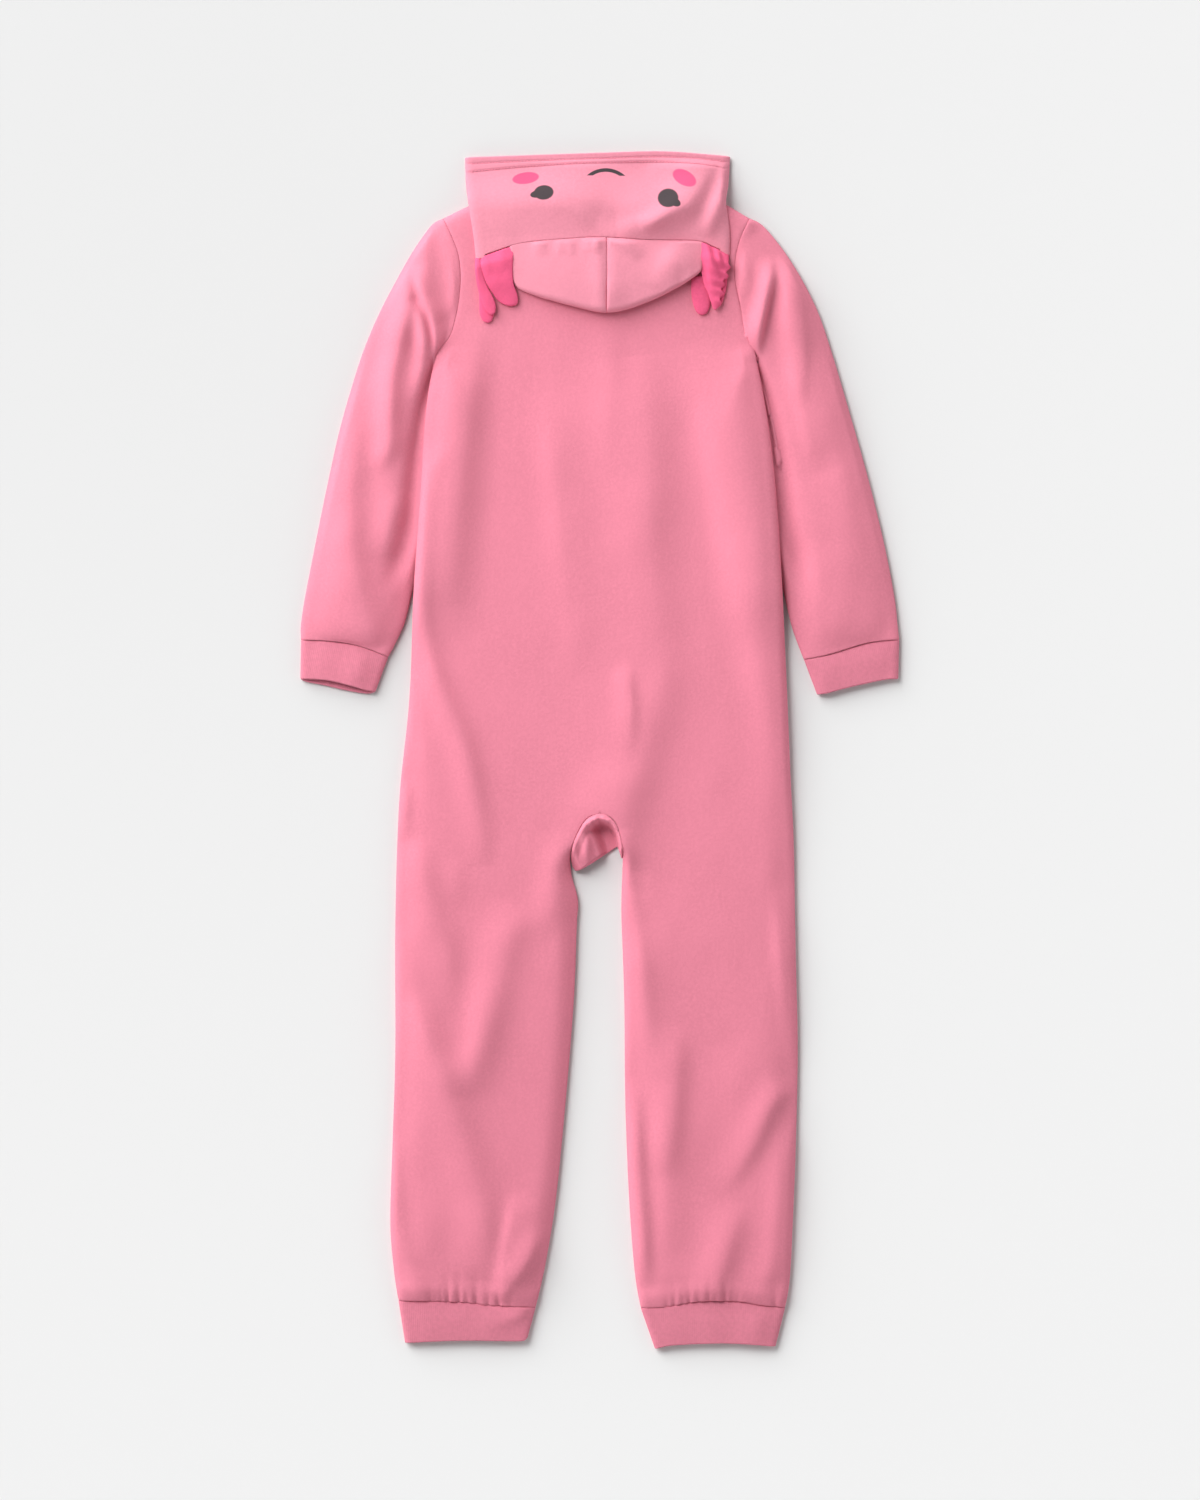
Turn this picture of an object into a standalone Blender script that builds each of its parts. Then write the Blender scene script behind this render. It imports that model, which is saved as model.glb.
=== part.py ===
# A child's hooded one-piece sleep suit in fleece, laid out face down on a flat surface.
# The back lies on the two fronts, the hood is folded onto the shoulders, and the zip is underneath.
# +X is to the right seen from above, +Y runs from the feet to the hood, +Z is up.
# All sizes are in millimetres; MM turns them into Blender's metres when a mesh is made.
import bpy
import bmesh
import math
import numpy as np
from mathutils import Vector

MM = 0.001

# ---- driving sizes ----
FLEECE = 2.2            # wall of the fleece pieces
RIB = 2.4               # wall of the rib cuffs
SEAM = 0.3              # gap between two pieces at a seam
SEAM_PLANE = 2.6        # height of the side folds over the surface
FLAT_TOP = 5.2          # top of two layers lying on each other
LOFT = 2.4              # how much the back puffs up away from its edges
LOFT_REACH = 34.0
EDGE_ROLL = 7.0         # how far in from a side the cloth rolls over
EDGE_ANGLES = (0.0, 35.0, 65.0, 90.0)

ARCH_TOP_Y = -54.8
ZIP_END_Y = -5.0
ZIP_HALF_GAP = 4.5      # from the zip's centre to the edge of the fleece
ZIP_MIDDLE = 2.75       # height of the tapes' centre
TUCK = 8.0              # how far the sleeves reach under the body's sides
TUCK_LIFT = 6.3         # how far the body's side is raised by the tucked sleeve
LIFT_REACH = (13.0, 52.0)
FRONT_LIFT_REACH = (9.0, 44.0)
SLIDER_Y = 433.0
SLIDER_RAISE = 1.0      # how much higher the fronts lie round the slider
MIDDLE_ROLL = 26.0      # spread of the columns beside the middle of the back
TOP_REACH = 80.0        # how far down the rows still bend with the neck and shoulders

# Side seam of the body, from the underarm to the leg hem: x for each y.
LEFT_SIDE = (
    # x, y
    (-142.7, 341.0), (-151.4, 295.8), (-156.6, 215.8), (-162.2, 137.5), (-166.2, 43.5),
    (-174.9, -43.5), (-178.4, -152.3), (-178.4, -261.0), (-181.0, -348.0), (-182.7, -413.0),
    (-179.2, -457.0), (-175.5, -480.0),
)
RIGHT_SIDE = (
    # x, y
    (135.7, 341.0), (147.9, 273.2), (155.4, 192.3), (161.4, 86.1), (166.2, -26.1),
    (168.8, -80.0), (170.5, -174.0), (172.3, -261.0), (170.5, -348.0), (167.9, -413.0),
    (165.3, -457.0), (160.5, -484.0),
)
# Armhole seam, from the shoulder tip to the underarm.
LEFT_ARMHOLE = (
    # x, y
    (-136.6, 462.8), (-129.6, 448.1), (-123.5, 432.4), (-121.2, 415.0), (-121.8, 397.6),
    (-124.7, 378.5), (-130.5, 359.3), (-142.7, 341.0),
)
RIGHT_ARMHOLE = (
    # x, y
    (130.5, 462.8), (122.0, 445.0), (117.5, 425.4), (117.5, 407.2), (121.3, 388.9),
    (126.2, 367.1), (135.7, 341.0),
)
# Inner edge of each leg, from the top of the arch to the leg hem.
LEFT_INSIDE = (
    # x, y
    (0.0, -54.8), (-10.4, -58.7), (-16.5, -66.0), (-22.6, -79.2), (-25.8, -92.2),
    (-24.4, -109.6), (-19.0, -130.5), (-20.0, -152.3), (-22.6, -217.5), (-29.6, -304.5),
    (-38.3, -391.5), (-47.0, -443.0), (-57.2, -485.1),
)
RIGHT_INSIDE = (
    # x, y
    (0.0, -54.8), (8.7, -58.0), (14.8, -65.3), (19.1, -80.5), (19.7, -92.0),
    (18.5, -130.5), (18.7, -152.3), (20.9, -217.5), (21.8, -304.5), (25.2, -391.5),
    (30.0, -450.0), (36.4, -485.5),
)
# Top edge of the body: shoulder line, then neckline to the middle.
BACK_TOP = (
    # x from the middle, y
    (0.0, 459.4), (30.0, 459.9), (60.0, 463.5), (80.0, 472.0), (88.0, 479.4),
    (110.0, 475.2), (136.6, 462.8),
)
FRONT_TOP = (
    # x from the middle, y
    (0.0, 445.4), (30.0, 447.5), (60.0, 457.0), (80.0, 471.0), (88.0, 479.4),
    (110.0, 475.2), (136.6, 462.8),
)
# Seam of each leg with its cuff.
LEFT_HEM = (
    # x, y
    (-182.0, -479.2), (-124.4, -480.2), (-99.2, -482.9), (-57.8, -485.1), (-45.0, -485.3),
)
RIGHT_HEM = (
    # x, y
    (30.0, -485.8), (56.2, -484.6), (88.4, -479.7), (122.0, -480.0), (139.2, -482.9), (163.0, -485.5),
)
# Levels of the rows: along the armholes, down the body, then down the legs from the arch.
ARMHOLE_ROWS = (462.8, 448.0, 432.0, 414.0, 396.0, 378.0, 360.0, 349.0, 341.0)
BODY_ROWS = (331.0, 320.0, 303.0, 284.0, 262.0, 238.0, 212.0, 186.0, 163.0, 148.0, 132.0, 112.0, 88.0,
             66.0, 42.0, 16.0, -10.0, -33.0, -54.8)
LEG_ROWS = (-59.0, -66.0, -79.0, -93.0, -111.0, -131.0, -152.0, -178.0, -206.0, -236.0, -266.0, -296.0,
            -326.0, -356.0, -386.0, -414.0, -438.0)
GATHER_ROWS = (-456.0, -468.0, -480.0)
FRONT_ROWS = (331.0, 320.0, 303.0, 262.0, 212.0, 163.0, 148.0, 132.0, 112.0, 66.0, 16.0, -5.0, -33.0, -54.8)
FRONT_LEG_ROWS = (-59.0, -66.0, -79.0, -93.0, -111.0, -131.0, -206.0, -296.0, -386.0, -438.0)
FINE_COLUMNS = 23       # columns of the neck and hem rows, two for each pleat
GATHER_HEIGHT = 2.2

# Folds of the body and legs: a soft ridge, or a trough where the height is negative.
BODY_FOLDS = (
    # x0, y0, x1, y1, half width, height
    (-95.0, 310.0, -113.0, 247.0, 11.0, -1.6),
    (-113.0, 247.0, -118.0, 186.0, 11.0, -1.3),
    (-135.0, 250.0, -147.0, 140.0, 8.0, -1.6),
    (-147.0, 140.0, -120.0, 16.0, 10.0, -1.8),
    (-120.0, 16.0, -98.0, -38.0, 11.0, -1.5),
    (-48.0, 303.0, -34.0, 234.0, 13.0, 1.7),
    (-34.0, 234.0, -12.0, 160.0, 13.0, 1.5),
    (85.0, 293.0, 108.0, 219.0, 12.0, 1.7),
    (108.0, 219.0, 126.0, 141.0, 12.0, 1.5),
    (0.0, 375.0, -3.0, 150.0, 8.0, -0.9),
    (-14.0, 74.0, 24.0, 71.0, 7.0, 1.2),
    (-60.0, 20.0, -80.0, -70.0, 14.0, 1.2),
    (55.0, 60.0, 70.0, -60.0, 14.0, 1.2),
    (-142.0, -104.0, -121.0, -151.0, 10.0, -1.8),
    (-168.0, -157.0, -121.0, -266.0, 11.0, -2.0),
    (-121.0, -266.0, -99.0, -355.0, 11.0, -2.0),
    (-99.0, -355.0, -85.0, -434.0, 11.0, -1.5),
    (-168.0, -222.0, -140.0, -330.0, 10.0, 1.6),
    (-72.0, -178.0, -95.0, -244.0, 10.0, -1.3),
    (-60.0, -230.0, -52.0, -400.0, 12.0, 1.4),
    (31.0, -134.0, 62.0, -300.0, 9.0, -1.7),
    (47.0, -324.0, 44.0, -440.0, 10.0, 1.6),
    (150.0, -151.0, 158.0, -266.0, 10.0, 1.6),
    (135.0, -324.0, 158.0, -306.0, 8.0, -1.4),
    (113.0, -434.0, 120.0, -380.0, 10.0, -1.6),
    (95.0, -150.0, 100.0, -330.0, 16.0, 1.3),
)
# Folds of the sleeves.
SLEEVE_FOLDS = (
    # x0, y0, x1, y1, half width, height
    (-142.0, 453.0, -151.0, 439.0, 6.0, -1.2),
    (-151.0, 439.0, -143.0, 397.0, 6.0, -1.6),
    (-161.0, 420.0, -157.0, 395.0, 6.0, 1.8),
    (-157.0, 395.0, -147.0, 360.0, 6.0, 1.8),
    (-163.5, 416.0, -164.0, 380.0, 7.0, -2.2),
    (-164.0, 380.0, -182.0, 290.0, 9.0, -2.4),
    (-182.0, 290.0, -175.0, 267.0, 9.0, -1.8),
    (-190.0, 234.0, -215.0, 200.0, 12.0, 1.8),
    (-190.0, 197.0, -170.0, 190.0, 12.0, -1.2),
    (122.0, 438.0, 132.0, 400.0, 6.0, -1.3),
    (151.0, 416.0, 148.0, 352.0, 9.0, -2.3),
    (148.0, 352.0, 171.0, 256.0, 9.0, -2.3),
    (171.0, 256.0, 176.0, 110.0, 10.0, -1.6),
    (167.0, 382.0, 199.0, 310.0, 10.0, 2.0),
    (199.0, 310.0, 205.0, 249.0, 10.0, 2.0),
    (205.0, 249.0, 193.0, 147.0, 11.0, 1.6),
)
# Outer fold of each sleeve, from the shoulder to the cuff.
LEFT_OUTER = (
    # x, y
    (-136.6, 462.8), (-145.5, 458.0), (-156.6, 443.7), (-169.7, 422.8), (-186.2, 391.5), (-202.7, 356.7),
    (-224.5, 287.1), (-240.1, 217.5), (-254.0, 147.9), (-260.1, 113.1), (-260.4, 95.7),
)
RIGHT_OUTER = (
    # x, y
    (130.5, 462.8), (139.5, 458.5), (153.1, 443.7), (167.9, 422.8), (185.3, 391.5), (198.4, 356.7),
    (219.2, 287.1), (238.4, 217.5), (254.0, 147.9), (258.6, 113.1), (260.6, 96.0),
)
# Inner fold of each sleeve where it leaves the body.
LEFT_INNER = (
    # x, y
    (-164.0, 138.0), (-165.3, 128.0), (-169.5, 112.2), (-178.4, 92.2), (-184.4, 80.9),
)
RIGHT_INNER = (
    # x, y
    (159.9, 138.0), (161.0, 128.0), (166.6, 108.8), (173.0, 90.0), (177.5, 78.6),
)
# Lines across the sleeves: where each meets the outer and the inner fold, and its bow to the body.
SLEEVE_LINES = (
    # outer y, inner y, bow
    (458.0, 336.0, 15.5), (447.0, 331.0, 13.5), (430.0, 323.0, 10.5), (407.0, 309.0, 7.5),
    (380.0, 293.0, 5.0), (348.0, 273.0, 3.0), (314.0, 249.0, 1.0), (278.0, 221.0, 0.0),
    (240.0, 190.0, 0.0), (202.0, 163.0, 0.0), (165.0, 138.5, -1.0), (130.0, 111.0, -3.0),
    (108.0, 91.0, -4.0),
)
# Ends of the rib cuffs, across each from fold to fold.
LEFT_WRIST_TOP = ((-260.4, 95.7), (-236.6, 94.8), (-216.6, 92.2), (-200.5, 87.5), (-184.4, 80.9))
LEFT_WRIST_END = ((-261.0, 61.8), (-238.4, 60.6), (-218.4, 56.1), (-202.7, 51.6), (-195.5, 50.8))
RIGHT_WRIST_TOP = ((260.6, 96.0), (244.0, 94.8), (228.8, 92.2), (199.2, 83.1), (177.5, 78.6))
RIGHT_WRIST_END = ((259.8, 61.8), (247.1, 60.9), (214.9, 53.9), (199.2, 49.6), (189.1, 47.9))
LEFT_ANKLE_END = ((-169.7, -516.3), (-136.6, -514.6), (-110.5, -514.2), (-69.6, -514.6), (-63.1, -512.0))
RIGHT_ANKLE_END = ((152.8, -519.4), (122.7, -517.1), (94.8, -516.8), (61.8, -518.5), (47.9, -521.6))

# Hood, seen from above: hem of the face opening, side folds, seam of band and crown, and the crown's fold.
HOOD_HEM = ((-117.7, 515.9), (-60.0, 517.8), (0.0, 519.8), (55.7, 521.1), (113.5, 516.8))
HOOD_LEFT = ((-117.7, 518.0), (-116.8, 493.3), (-114.0, 471.5), (-109.6, 443.7), (-107.9, 425.0))
HOOD_RIGHT = ((113.5, 519.0), (111.9, 493.3), (109.6, 475.0), (112.8, 451.9), (112.6, 428.0))
HOOD_SEAM = ((-110.0, 426.4), (-92.0, 432.6), (-74.8, 438.3), (-60.0, 441.0), (-27.0, 443.7), (1.0, 445.0),
             (39.2, 442.6), (82.7, 442.0), (98.0, 437.2), (114.0, 429.8))
CROWN_FOLD = ((-73.6, 412.5), (-70.6, 404.5), (-65.3, 399.3), (-51.8, 394.1), (-27.0, 386.6),
              (6.1, 379.3), (22.6, 382.8), (47.4, 391.5), (70.5, 403.2), (76.5, 408.0), (78.3, 413.0))
CROWN_MIDDLE = 6.1      # x of the seam between the two crown panels
CROWN_SIDES = (-74.8, 79.5)
CROWN_HEIGHT = 7.0      # of the crown's two layers at their fold
HOOD_ROLL = 7.0
HOOD_ROWS = (
    # share of the way from hem to crown seam
    0.0, 0.05, 0.12, 0.20, 0.29, 0.37, 0.45, 0.60, 0.80, 1.0,
)
RING_ROWS = 6           # rows in which the band goes all the way round, above the shoulders
HOOD_FOLDS = (
    # x0, y0, x1, y1, half width, height
    (100.0, 508.0, 94.0, 471.5, 7.0, 1.6),
    (94.0, 471.5, 72.2, 455.0, 7.0, 1.8),
    (72.2, 455.0, 39.2, 446.0, 7.0, 1.4),
    (39.2, 452.0, 63.5, 463.0, 5.0, -1.2),
    (52.2, 468.0, -2.6, 450.0, 7.0, 1.6),
    (-47.0, 475.0, -10.4, 456.8, 8.0, 1.5),
    (-53.4, 495.0, -36.9, 501.6, 7.0, 1.0),
    (-90.0, 505.0, -98.0, 450.0, 8.0, 1.0),
)
GILLS = {
    # x, y, half width, height of the underside over the back
    "gill_left_1": ((-87.6, 429.4, 8.0, 4.0), (-87.6, 425.0, 9.6, 3.9), (-87.6, 418.0, 11.0, 3.6),
                    (-86.5, 408.0, 11.2, 3.0),
                    (-80.8, 396.0, 8.4, 1.4), (-78.6, 389.0, 6.2, 0.7), (-77.2, 384.6, 2.4, 0.6)),
    "gill_left_2": ((-104.4, 425.0, 2.4, 3.6), (-105.4, 412.0, 3.4, 3.4), (-101.2, 399.0, 4.2, 3.3),
                    (-96.0, 386.0, 4.8, 3.2), (-93.8, 378.5, 4.0, 2.4), (-92.2, 374.5, 1.6, 1.8)),
    "gill_left_3": ((-100.6, 401.0, 2.6, 0.5), (-100.8, 393.0, 4.2, 0.5), (-100.2, 383.0, 5.2, 0.5),
                    (-99.2, 375.0, 4.6, 0.5), (-98.6, 370.8, 1.8, 0.5)),
    "gill_right_1": ((98.0, 426.8, 9.6, 4.0), (100.4, 419.0, 10.4, 3.7), (98.8, 410.5, 8.4, 3.4),
                     (97.0, 403.0, 7.0, 3.4), (96.4, 396.0, 4.8, 3.4), (96.4, 391.5, 2.0, 3.4)),
    "gill_right_2": ((102.6, 400.0, 2.4, 0.5), (103.4, 394.0, 4.4, 0.5), (102.6, 387.5, 4.6, 0.5),
                     (101.0, 382.5, 3.2, 0.5), (100.2, 380.0, 1.4, 0.5)),
    "gill_right_3": ((84.4, 436.5, 2.4, 0.6), (85.6, 420.0, 3.8, 0.5), (86.8, 402.0, 5.0, 0.5),
                     (88.2, 388.0, 6.2, 0.5), (89.6, 381.0, 4.8, 0.5), (90.4, 377.8, 2.0, 0.5)),
}
GILL_THICKNESS = 2.6
CROWN_RISE = 0.6        # height of the crown's under layer over the back
HOOD_UNDER_LEVELS = ((430.0, 460.0, 477.5, 484.0), (8.3, 8.1, 6.9, 0.0))    # y, height of the band's underside
LOWER_COLUMNS = (28.0, 54.0, 74.0, 90.0)    # x of the points across each half of the band's lower layer
GUSSET_LEVELS = (
    # share of the way from seam to fold, upper and under height
    (0.0, 3.6, 1.4), (0.3, 3.9, 1.7), (0.6, 3.4, 1.2), (0.9, 2.6, 0.4), (1.0, 1.6, 0.1),
)
# Crotch gusset: its seam under the arch, and the fold along its lower edge.
GUSSET_SEAM = ((-23.9, -101.0), (-25.1, -92.2), (-22.0, -79.4), (-15.9, -66.6), (-10.0, -59.4),
               (0.0, -55.6), (8.3, -58.9), (14.2, -65.9), (18.4, -80.0))
GUSSET_FOLD = ((-21.5, -105.5), (-17.0, -104.5), (-8.0, -99.5), (2.0, -93.0), (12.0, -86.5), (17.6, -83.4))
# Zip: half section of tape and coil, from the middle.
TAPE_EDGE = 12.0
TAPE_HALF = 0.25
COIL_HALF_WIDTH = 2.4
COIL_HALF_HEIGHT = 0.9
COIL_END_Y = 435.8
TAPE_END_Y = 443.0
SLIDER_LENGTH = 9.5
SLIDER_WIDTH = 7.4
SLIDER_PLATE = 0.6
SLIDER_SPACE = 0.15     # between the coil and each plate
POST_HALF = 0.8
BRIDGE_REACH = 3.4      # from the slider's middle to each end of its bridge
BRIDGE_WALL = 0.8
BRIDGE_LOW = 0.2        # height of the bridge's bar over the surface
BRIDGE_BAR_TOP = 0.8
MERGE = 0.01            # how much parts of one fused piece run past each other
PULL_LENGTH = 18.0
PULL_WIDTH = 4.2
PULL_THICKNESS = 0.8
PULL_AXIS_Z = 1.45
PULL_REST_DEG = 3.1     # the pull's tip leans down to the surface
EYE = (2.5, 4.2, 4.0)   # hole in the pull round the bridge's bar: width, length, height of the cutter


# ---- curves and heights ----
def spline(points, count):
    """Points evenly spaced along a smooth curve through the given ones (Catmull-Rom)."""
    p = np.array(points, float)
    ends = np.vstack([2 * p[0] - p[1], p, 2 * p[-1] - p[-2]])
    t = np.linspace(0, 1, 12, endpoint=False)[:, None]
    runs = []
    for a, b, c, d in zip(ends[:-3], ends[1:-2], ends[2:-1], ends[3:]):
        runs.append(0.5 * (2 * b + (c - a) * t + (2 * a - 5 * b + 4 * c - d) * t ** 2
                           + (3 * b - a - 3 * c + d) * t ** 3))
    line = np.vstack(runs + [p[-1:]])
    length = np.concatenate([[0], np.cumsum(np.linalg.norm(np.diff(line, axis=0), axis=1))])
    steps = np.linspace(0, length[-1], count)
    return np.stack([np.interp(steps, length, line[:, k]) for k in range(p.shape[1])], axis=1)


def x_by_y(points):
    """The curve's x as a function of y."""
    line = spline(points, 160)
    order = np.argsort(line[:, 1])
    return lambda y: np.interp(y, line[order, 1], line[order, 0])


def y_by_x(points):
    """The curve's y as a function of x."""
    line = spline(points, 160)
    order = np.argsort(line[:, 0])
    return lambda x: np.interp(x, line[order, 0], line[order, 1])


def ramp(value, start, end):
    """0 at start, 1 at end, smooth between."""
    t = np.clip((np.asarray(value, float) - start) / (end - start), 0, 1)
    return t * t * (3 - 2 * t)


def fold_height(folds, x, y):
    """Sum of the soft ridges and troughs of a table of folds at a point."""
    total = np.zeros(np.shape(x))
    for x0, y0, x1, y1, width, height in folds:
        along = np.array((x1 - x0, y1 - y0))
        share = np.clip(((x - x0) * along[0] + (y - y0) * along[1]) / along.dot(along), 0, 1)
        away = np.hypot(x - x0 - share * along[0], y - y0 - share * along[1])
        total += height * np.exp(-(away / width) ** 2)
    return total


def loft(distance):
    return LOFT * (1 - np.exp(-(np.maximum(distance, 0) / LOFT_REACH) ** 2 * 2))


side = {-1: x_by_y(LEFT_ARMHOLE[:-1] + LEFT_SIDE), 1: x_by_y(RIGHT_ARMHOLE[:-1] + RIGHT_SIDE)}
inside = {-1: x_by_y(LEFT_INSIDE), 1: x_by_y(RIGHT_INSIDE)}
hem = {-1: y_by_x(LEFT_HEM), 1: y_by_x(RIGHT_HEM)}
outer_fold = {-1: x_by_y(LEFT_OUTER), 1: x_by_y(RIGHT_OUTER)}
inner_fold = {-1: x_by_y(LEFT_INNER), 1: x_by_y(RIGHT_INNER)}
hood_edge = {-1: x_by_y(HOOD_LEFT), 1: x_by_y(HOOD_RIGHT)}
hood_hem = y_by_x(HOOD_HEM)
hood_seam = y_by_x(HOOD_SEAM)
crown_fold = y_by_x(CROWN_FOLD)
back_top = y_by_x(BACK_TOP)
front_top = y_by_x(FRONT_TOP)


def body_lift(x, y, reach=LIFT_REACH):
    """How far the body's side is raised by the sleeve tucked under it."""
    depth = np.where(x < 0, x - side[-1](y), side[1](y) - x)
    along = ramp(y, 108, 140) * (1 - ramp(y, 328, 354))
    return TUCK_LIFT * along * (1 - ramp(depth, *reach))


def zip_raise(x, y):
    """The fronts lie a little higher round the slider."""
    return SLIDER_RAISE * np.exp(-(x / 34) ** 2 - ((y - SLIDER_Y) / 26) ** 2)


def body_top(x, y):
    """Height of the back's upper surface away from its rolled edges."""
    edge = np.minimum(x - side[-1](y), side[1](y) - x) + 60 * ramp(y, 330, 372)
    leg = np.where(x < 0, inside[-1](y) - x, x - inside[1](y)) + 60 * ramp(y, -110, ARCH_TOP_Y)
    reach = np.minimum(np.minimum(edge, leg), back_top(np.abs(x)) - y + 14)
    puff = loft(reach) + fold_height(BODY_FOLDS, x, y) + 0.9 * zip_raise(x, y)
    return FLAT_TOP + body_lift(x, y) + np.maximum(puff, 0)


# ---- mesh making ----
class Cloth:
    """A wall of cloth: an outer and an inner point for each number, and faces between rows of numbers."""

    def __init__(self):
        self.outer, self.inner, self.faces = [], [], []

    def row(self, outer, inner):
        start = len(self.outer)
        self.outer.extend(map(tuple, outer))
        self.inner.extend(map(tuple, inner))
        return list(range(start, len(self.outer)))

    def join(self, a, b):
        """Faces between two rows, which may have unlike counts."""
        if len(a) == len(b):
            self.faces += [(a[i], a[i + 1], b[i + 1], b[i]) for i in range(len(a) - 1)]
            return
        i = j = 0
        while i < len(a) - 1 or j < len(b) - 1:
            if j == len(b) - 1 or (i < len(a) - 1 and (i + 1) / (len(a) - 1) <= (j + 1) / (len(b) - 1)):
                self.faces.append((a[i], a[i + 1], b[j]))
                i += 1
            else:
                self.faces.append((a[i], b[j + 1], b[j]))
                j += 1

    def closed(self):
        """Points and faces of the closed wall: outer faces, inner ones turned round, and the edges."""
        n = len(self.outer)
        faces = list(self.faces) + [tuple(n + k for k in reversed(f)) for f in self.faces]
        sides = {(f[k], f[(k + 1) % len(f)]) for f in self.faces for k in range(len(f))}
        faces += [(b, a, n + a, n + b) for a, b in sorted(sides) if (b, a) not in sides]
        return self.outer + self.inner, faces


def material(name, colour, roughness, metallic=0.0):
    made = bpy.data.materials.get(name) or bpy.data.materials.new(name)
    made.use_nodes = True
    shader = made.node_tree.nodes["Principled BSDF"]
    shader.inputs["Base Color"].default_value = (*colour, 1)
    shader.inputs["Roughness"].default_value = roughness
    shader.inputs["Metallic"].default_value = metallic
    return made


def add_piece(name, points, faces, finish):
    """One named object of closed mesh, faces outward."""
    mesh = bpy.data.meshes.new(name)
    mesh.from_pydata([Vector(p) * MM for p in points], [], faces)
    bm = bmesh.new()
    bm.from_mesh(mesh)
    bmesh.ops.triangulate(bm, faces=bm.faces[:])
    bmesh.ops.recalc_face_normals(bm, faces=bm.faces[:])
    if bm.calc_volume(signed=True) < 0:
        bmesh.ops.reverse_faces(bm, faces=bm.faces[:])
    bm.to_mesh(mesh)
    bm.free()
    mesh.materials.append(finish)
    piece = bpy.data.objects.new(name, mesh)
    suit.objects.link(piece)
    mesh.shade_smooth()
    mesh.set_sharp_from_angle(angle=math.radians(50))
    return piece


def offset_inward(grid, wall):
    """The grid moved by the wall's thickness along its normals, to the side its rows turn towards."""
    across = np.gradient(grid, axis=1)
    along = np.gradient(grid, axis=0)
    normal = np.cross(across, along)
    normal /= np.linalg.norm(normal, axis=2)[:, :, None]
    return grid + normal * wall


# ---- columns of a row ----
def edge_columns(width, middle, first_roll, last_roll, fine=False):
    """Distances across a row with its rolled edges, and the angle and side of each roll."""
    angles = np.radians(EDGE_ANGLES)
    first = first_roll * (1 - np.cos(angles))
    last = width - last_roll * (1 - np.cos(angles[::-1]))
    between = np.linspace(first_roll, width - last_roll, middle + 2)[1:-1]
    distance = np.concatenate([first, between, last])
    angle = np.concatenate([angles, np.full(middle, math.pi / 2), angles[::-1]])
    near = np.concatenate([np.ones(4), np.zeros(middle), -np.ones(4)])
    if fine:
        share = np.linspace(0, len(distance) - 1, FINE_COLUMNS)
        distance, angle, near = (np.interp(share, np.arange(len(distance)), k) for k in (distance, angle, near))
    return distance, angle, near


def panel_row(level, sign, middle, inner_x, inner_roll, upper, fine=False):
    """One row of half a panel from its side to its inner edge, as outer and inner points."""
    x_side = side[sign](level)
    distance, angle, near = edge_columns(abs(x_side - inner_x), middle, EDGE_ROLL, inner_roll, fine)
    x = x_side - sign * distance
    top_edge = (back_top if upper else front_top)(np.abs(x)) - ARMHOLE_ROWS[0]
    bottom_edge = hem[sign](x) - GATHER_ROWS[-1]
    y = level + top_edge * (1 - ramp(ARMHOLE_ROWS[0] - level, 0, TOP_REACH))
    y = y + bottom_edge * ramp(-level, 400, -GATHER_ROWS[-1])
    rolled_side = 1 - ramp(level, 340, 356)
    rolled_leg = ramp(-level, -ARCH_TOP_Y, 66)
    rolled = np.where(near > 0, rolled_side, np.where(near < 0, rolled_leg, 0.0))
    turn = rolled * (1 - np.sin(angle))
    lift = body_lift(x, y, LIFT_REACH if upper else FRONT_LIFT_REACH)
    if upper:
        seam = lift + SEAM_PLANE + SEAM / 2
        full = body_top(x, y)
        height = full - seam
        z_out = full - turn * height
        z_in = full - FLEECE - turn * (height - FLEECE)
    else:
        raised = lift + zip_raise(x, y)
        height = SEAM_PLANE - SEAM / 2
        z_out = raised + turn * height
        z_in = raised + FLEECE + turn * (height - FLEECE)
    x_in = x - sign * near * rolled * FLEECE * np.cos(angle)
    return np.stack([x, y, z_out], 1), np.stack([x_in, y, z_in], 1)


# ---- the body ----
def make_back():
    """Torso and both legs in one: rows from side to side, which part at the arch into two legs."""
    cloth = Cloth()

    def half(level, sign, leg, fine=False):
        spread = EDGE_ROLL + (MIDDLE_ROLL - EDGE_ROLL) * ramp(level, ARCH_TOP_Y, 40)
        inner_x = inside[sign](level) if leg else 0.0
        return panel_row(level, sign, 5, inner_x, spread, True, fine)

    previous = None
    for level in ARMHOLE_ROWS + BODY_ROWS:
        fine = level == ARMHOLE_ROWS[0]
        left, right = half(level, -1, False, fine), half(level, 1, False, fine)
        row = cloth.row(np.vstack([left[0], right[0][-2::-1]]), np.vstack([left[1], right[1][-2::-1]]))
        if previous:
            cloth.join(previous, row)
        previous = row
    columns = len(previous) // 2 + 1
    for sign, row in ((-1, previous[:columns]), (1, previous[columns - 1:])):
        for level in LEG_ROWS + GATHER_ROWS:
            fine = level in GATHER_ROWS
            outer, inner = half(level, sign, True, fine)
            if fine:
                pleats = GATHER_HEIGHT * (GATHER_ROWS.index(level) + 0.5) / len(GATHER_ROWS)
                pleats = pleats * (np.arange(FINE_COLUMNS) % 2)
                pleats[[0, 1, -2, -1]] = 0
                outer[:, 2] += pleats
                inner[:, 2] += pleats
            following = cloth.row(outer[::-sign], inner[::-sign])
            cloth.join(row, following)
            row = following
    add_piece("back", *cloth.closed(), fleece)


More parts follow.
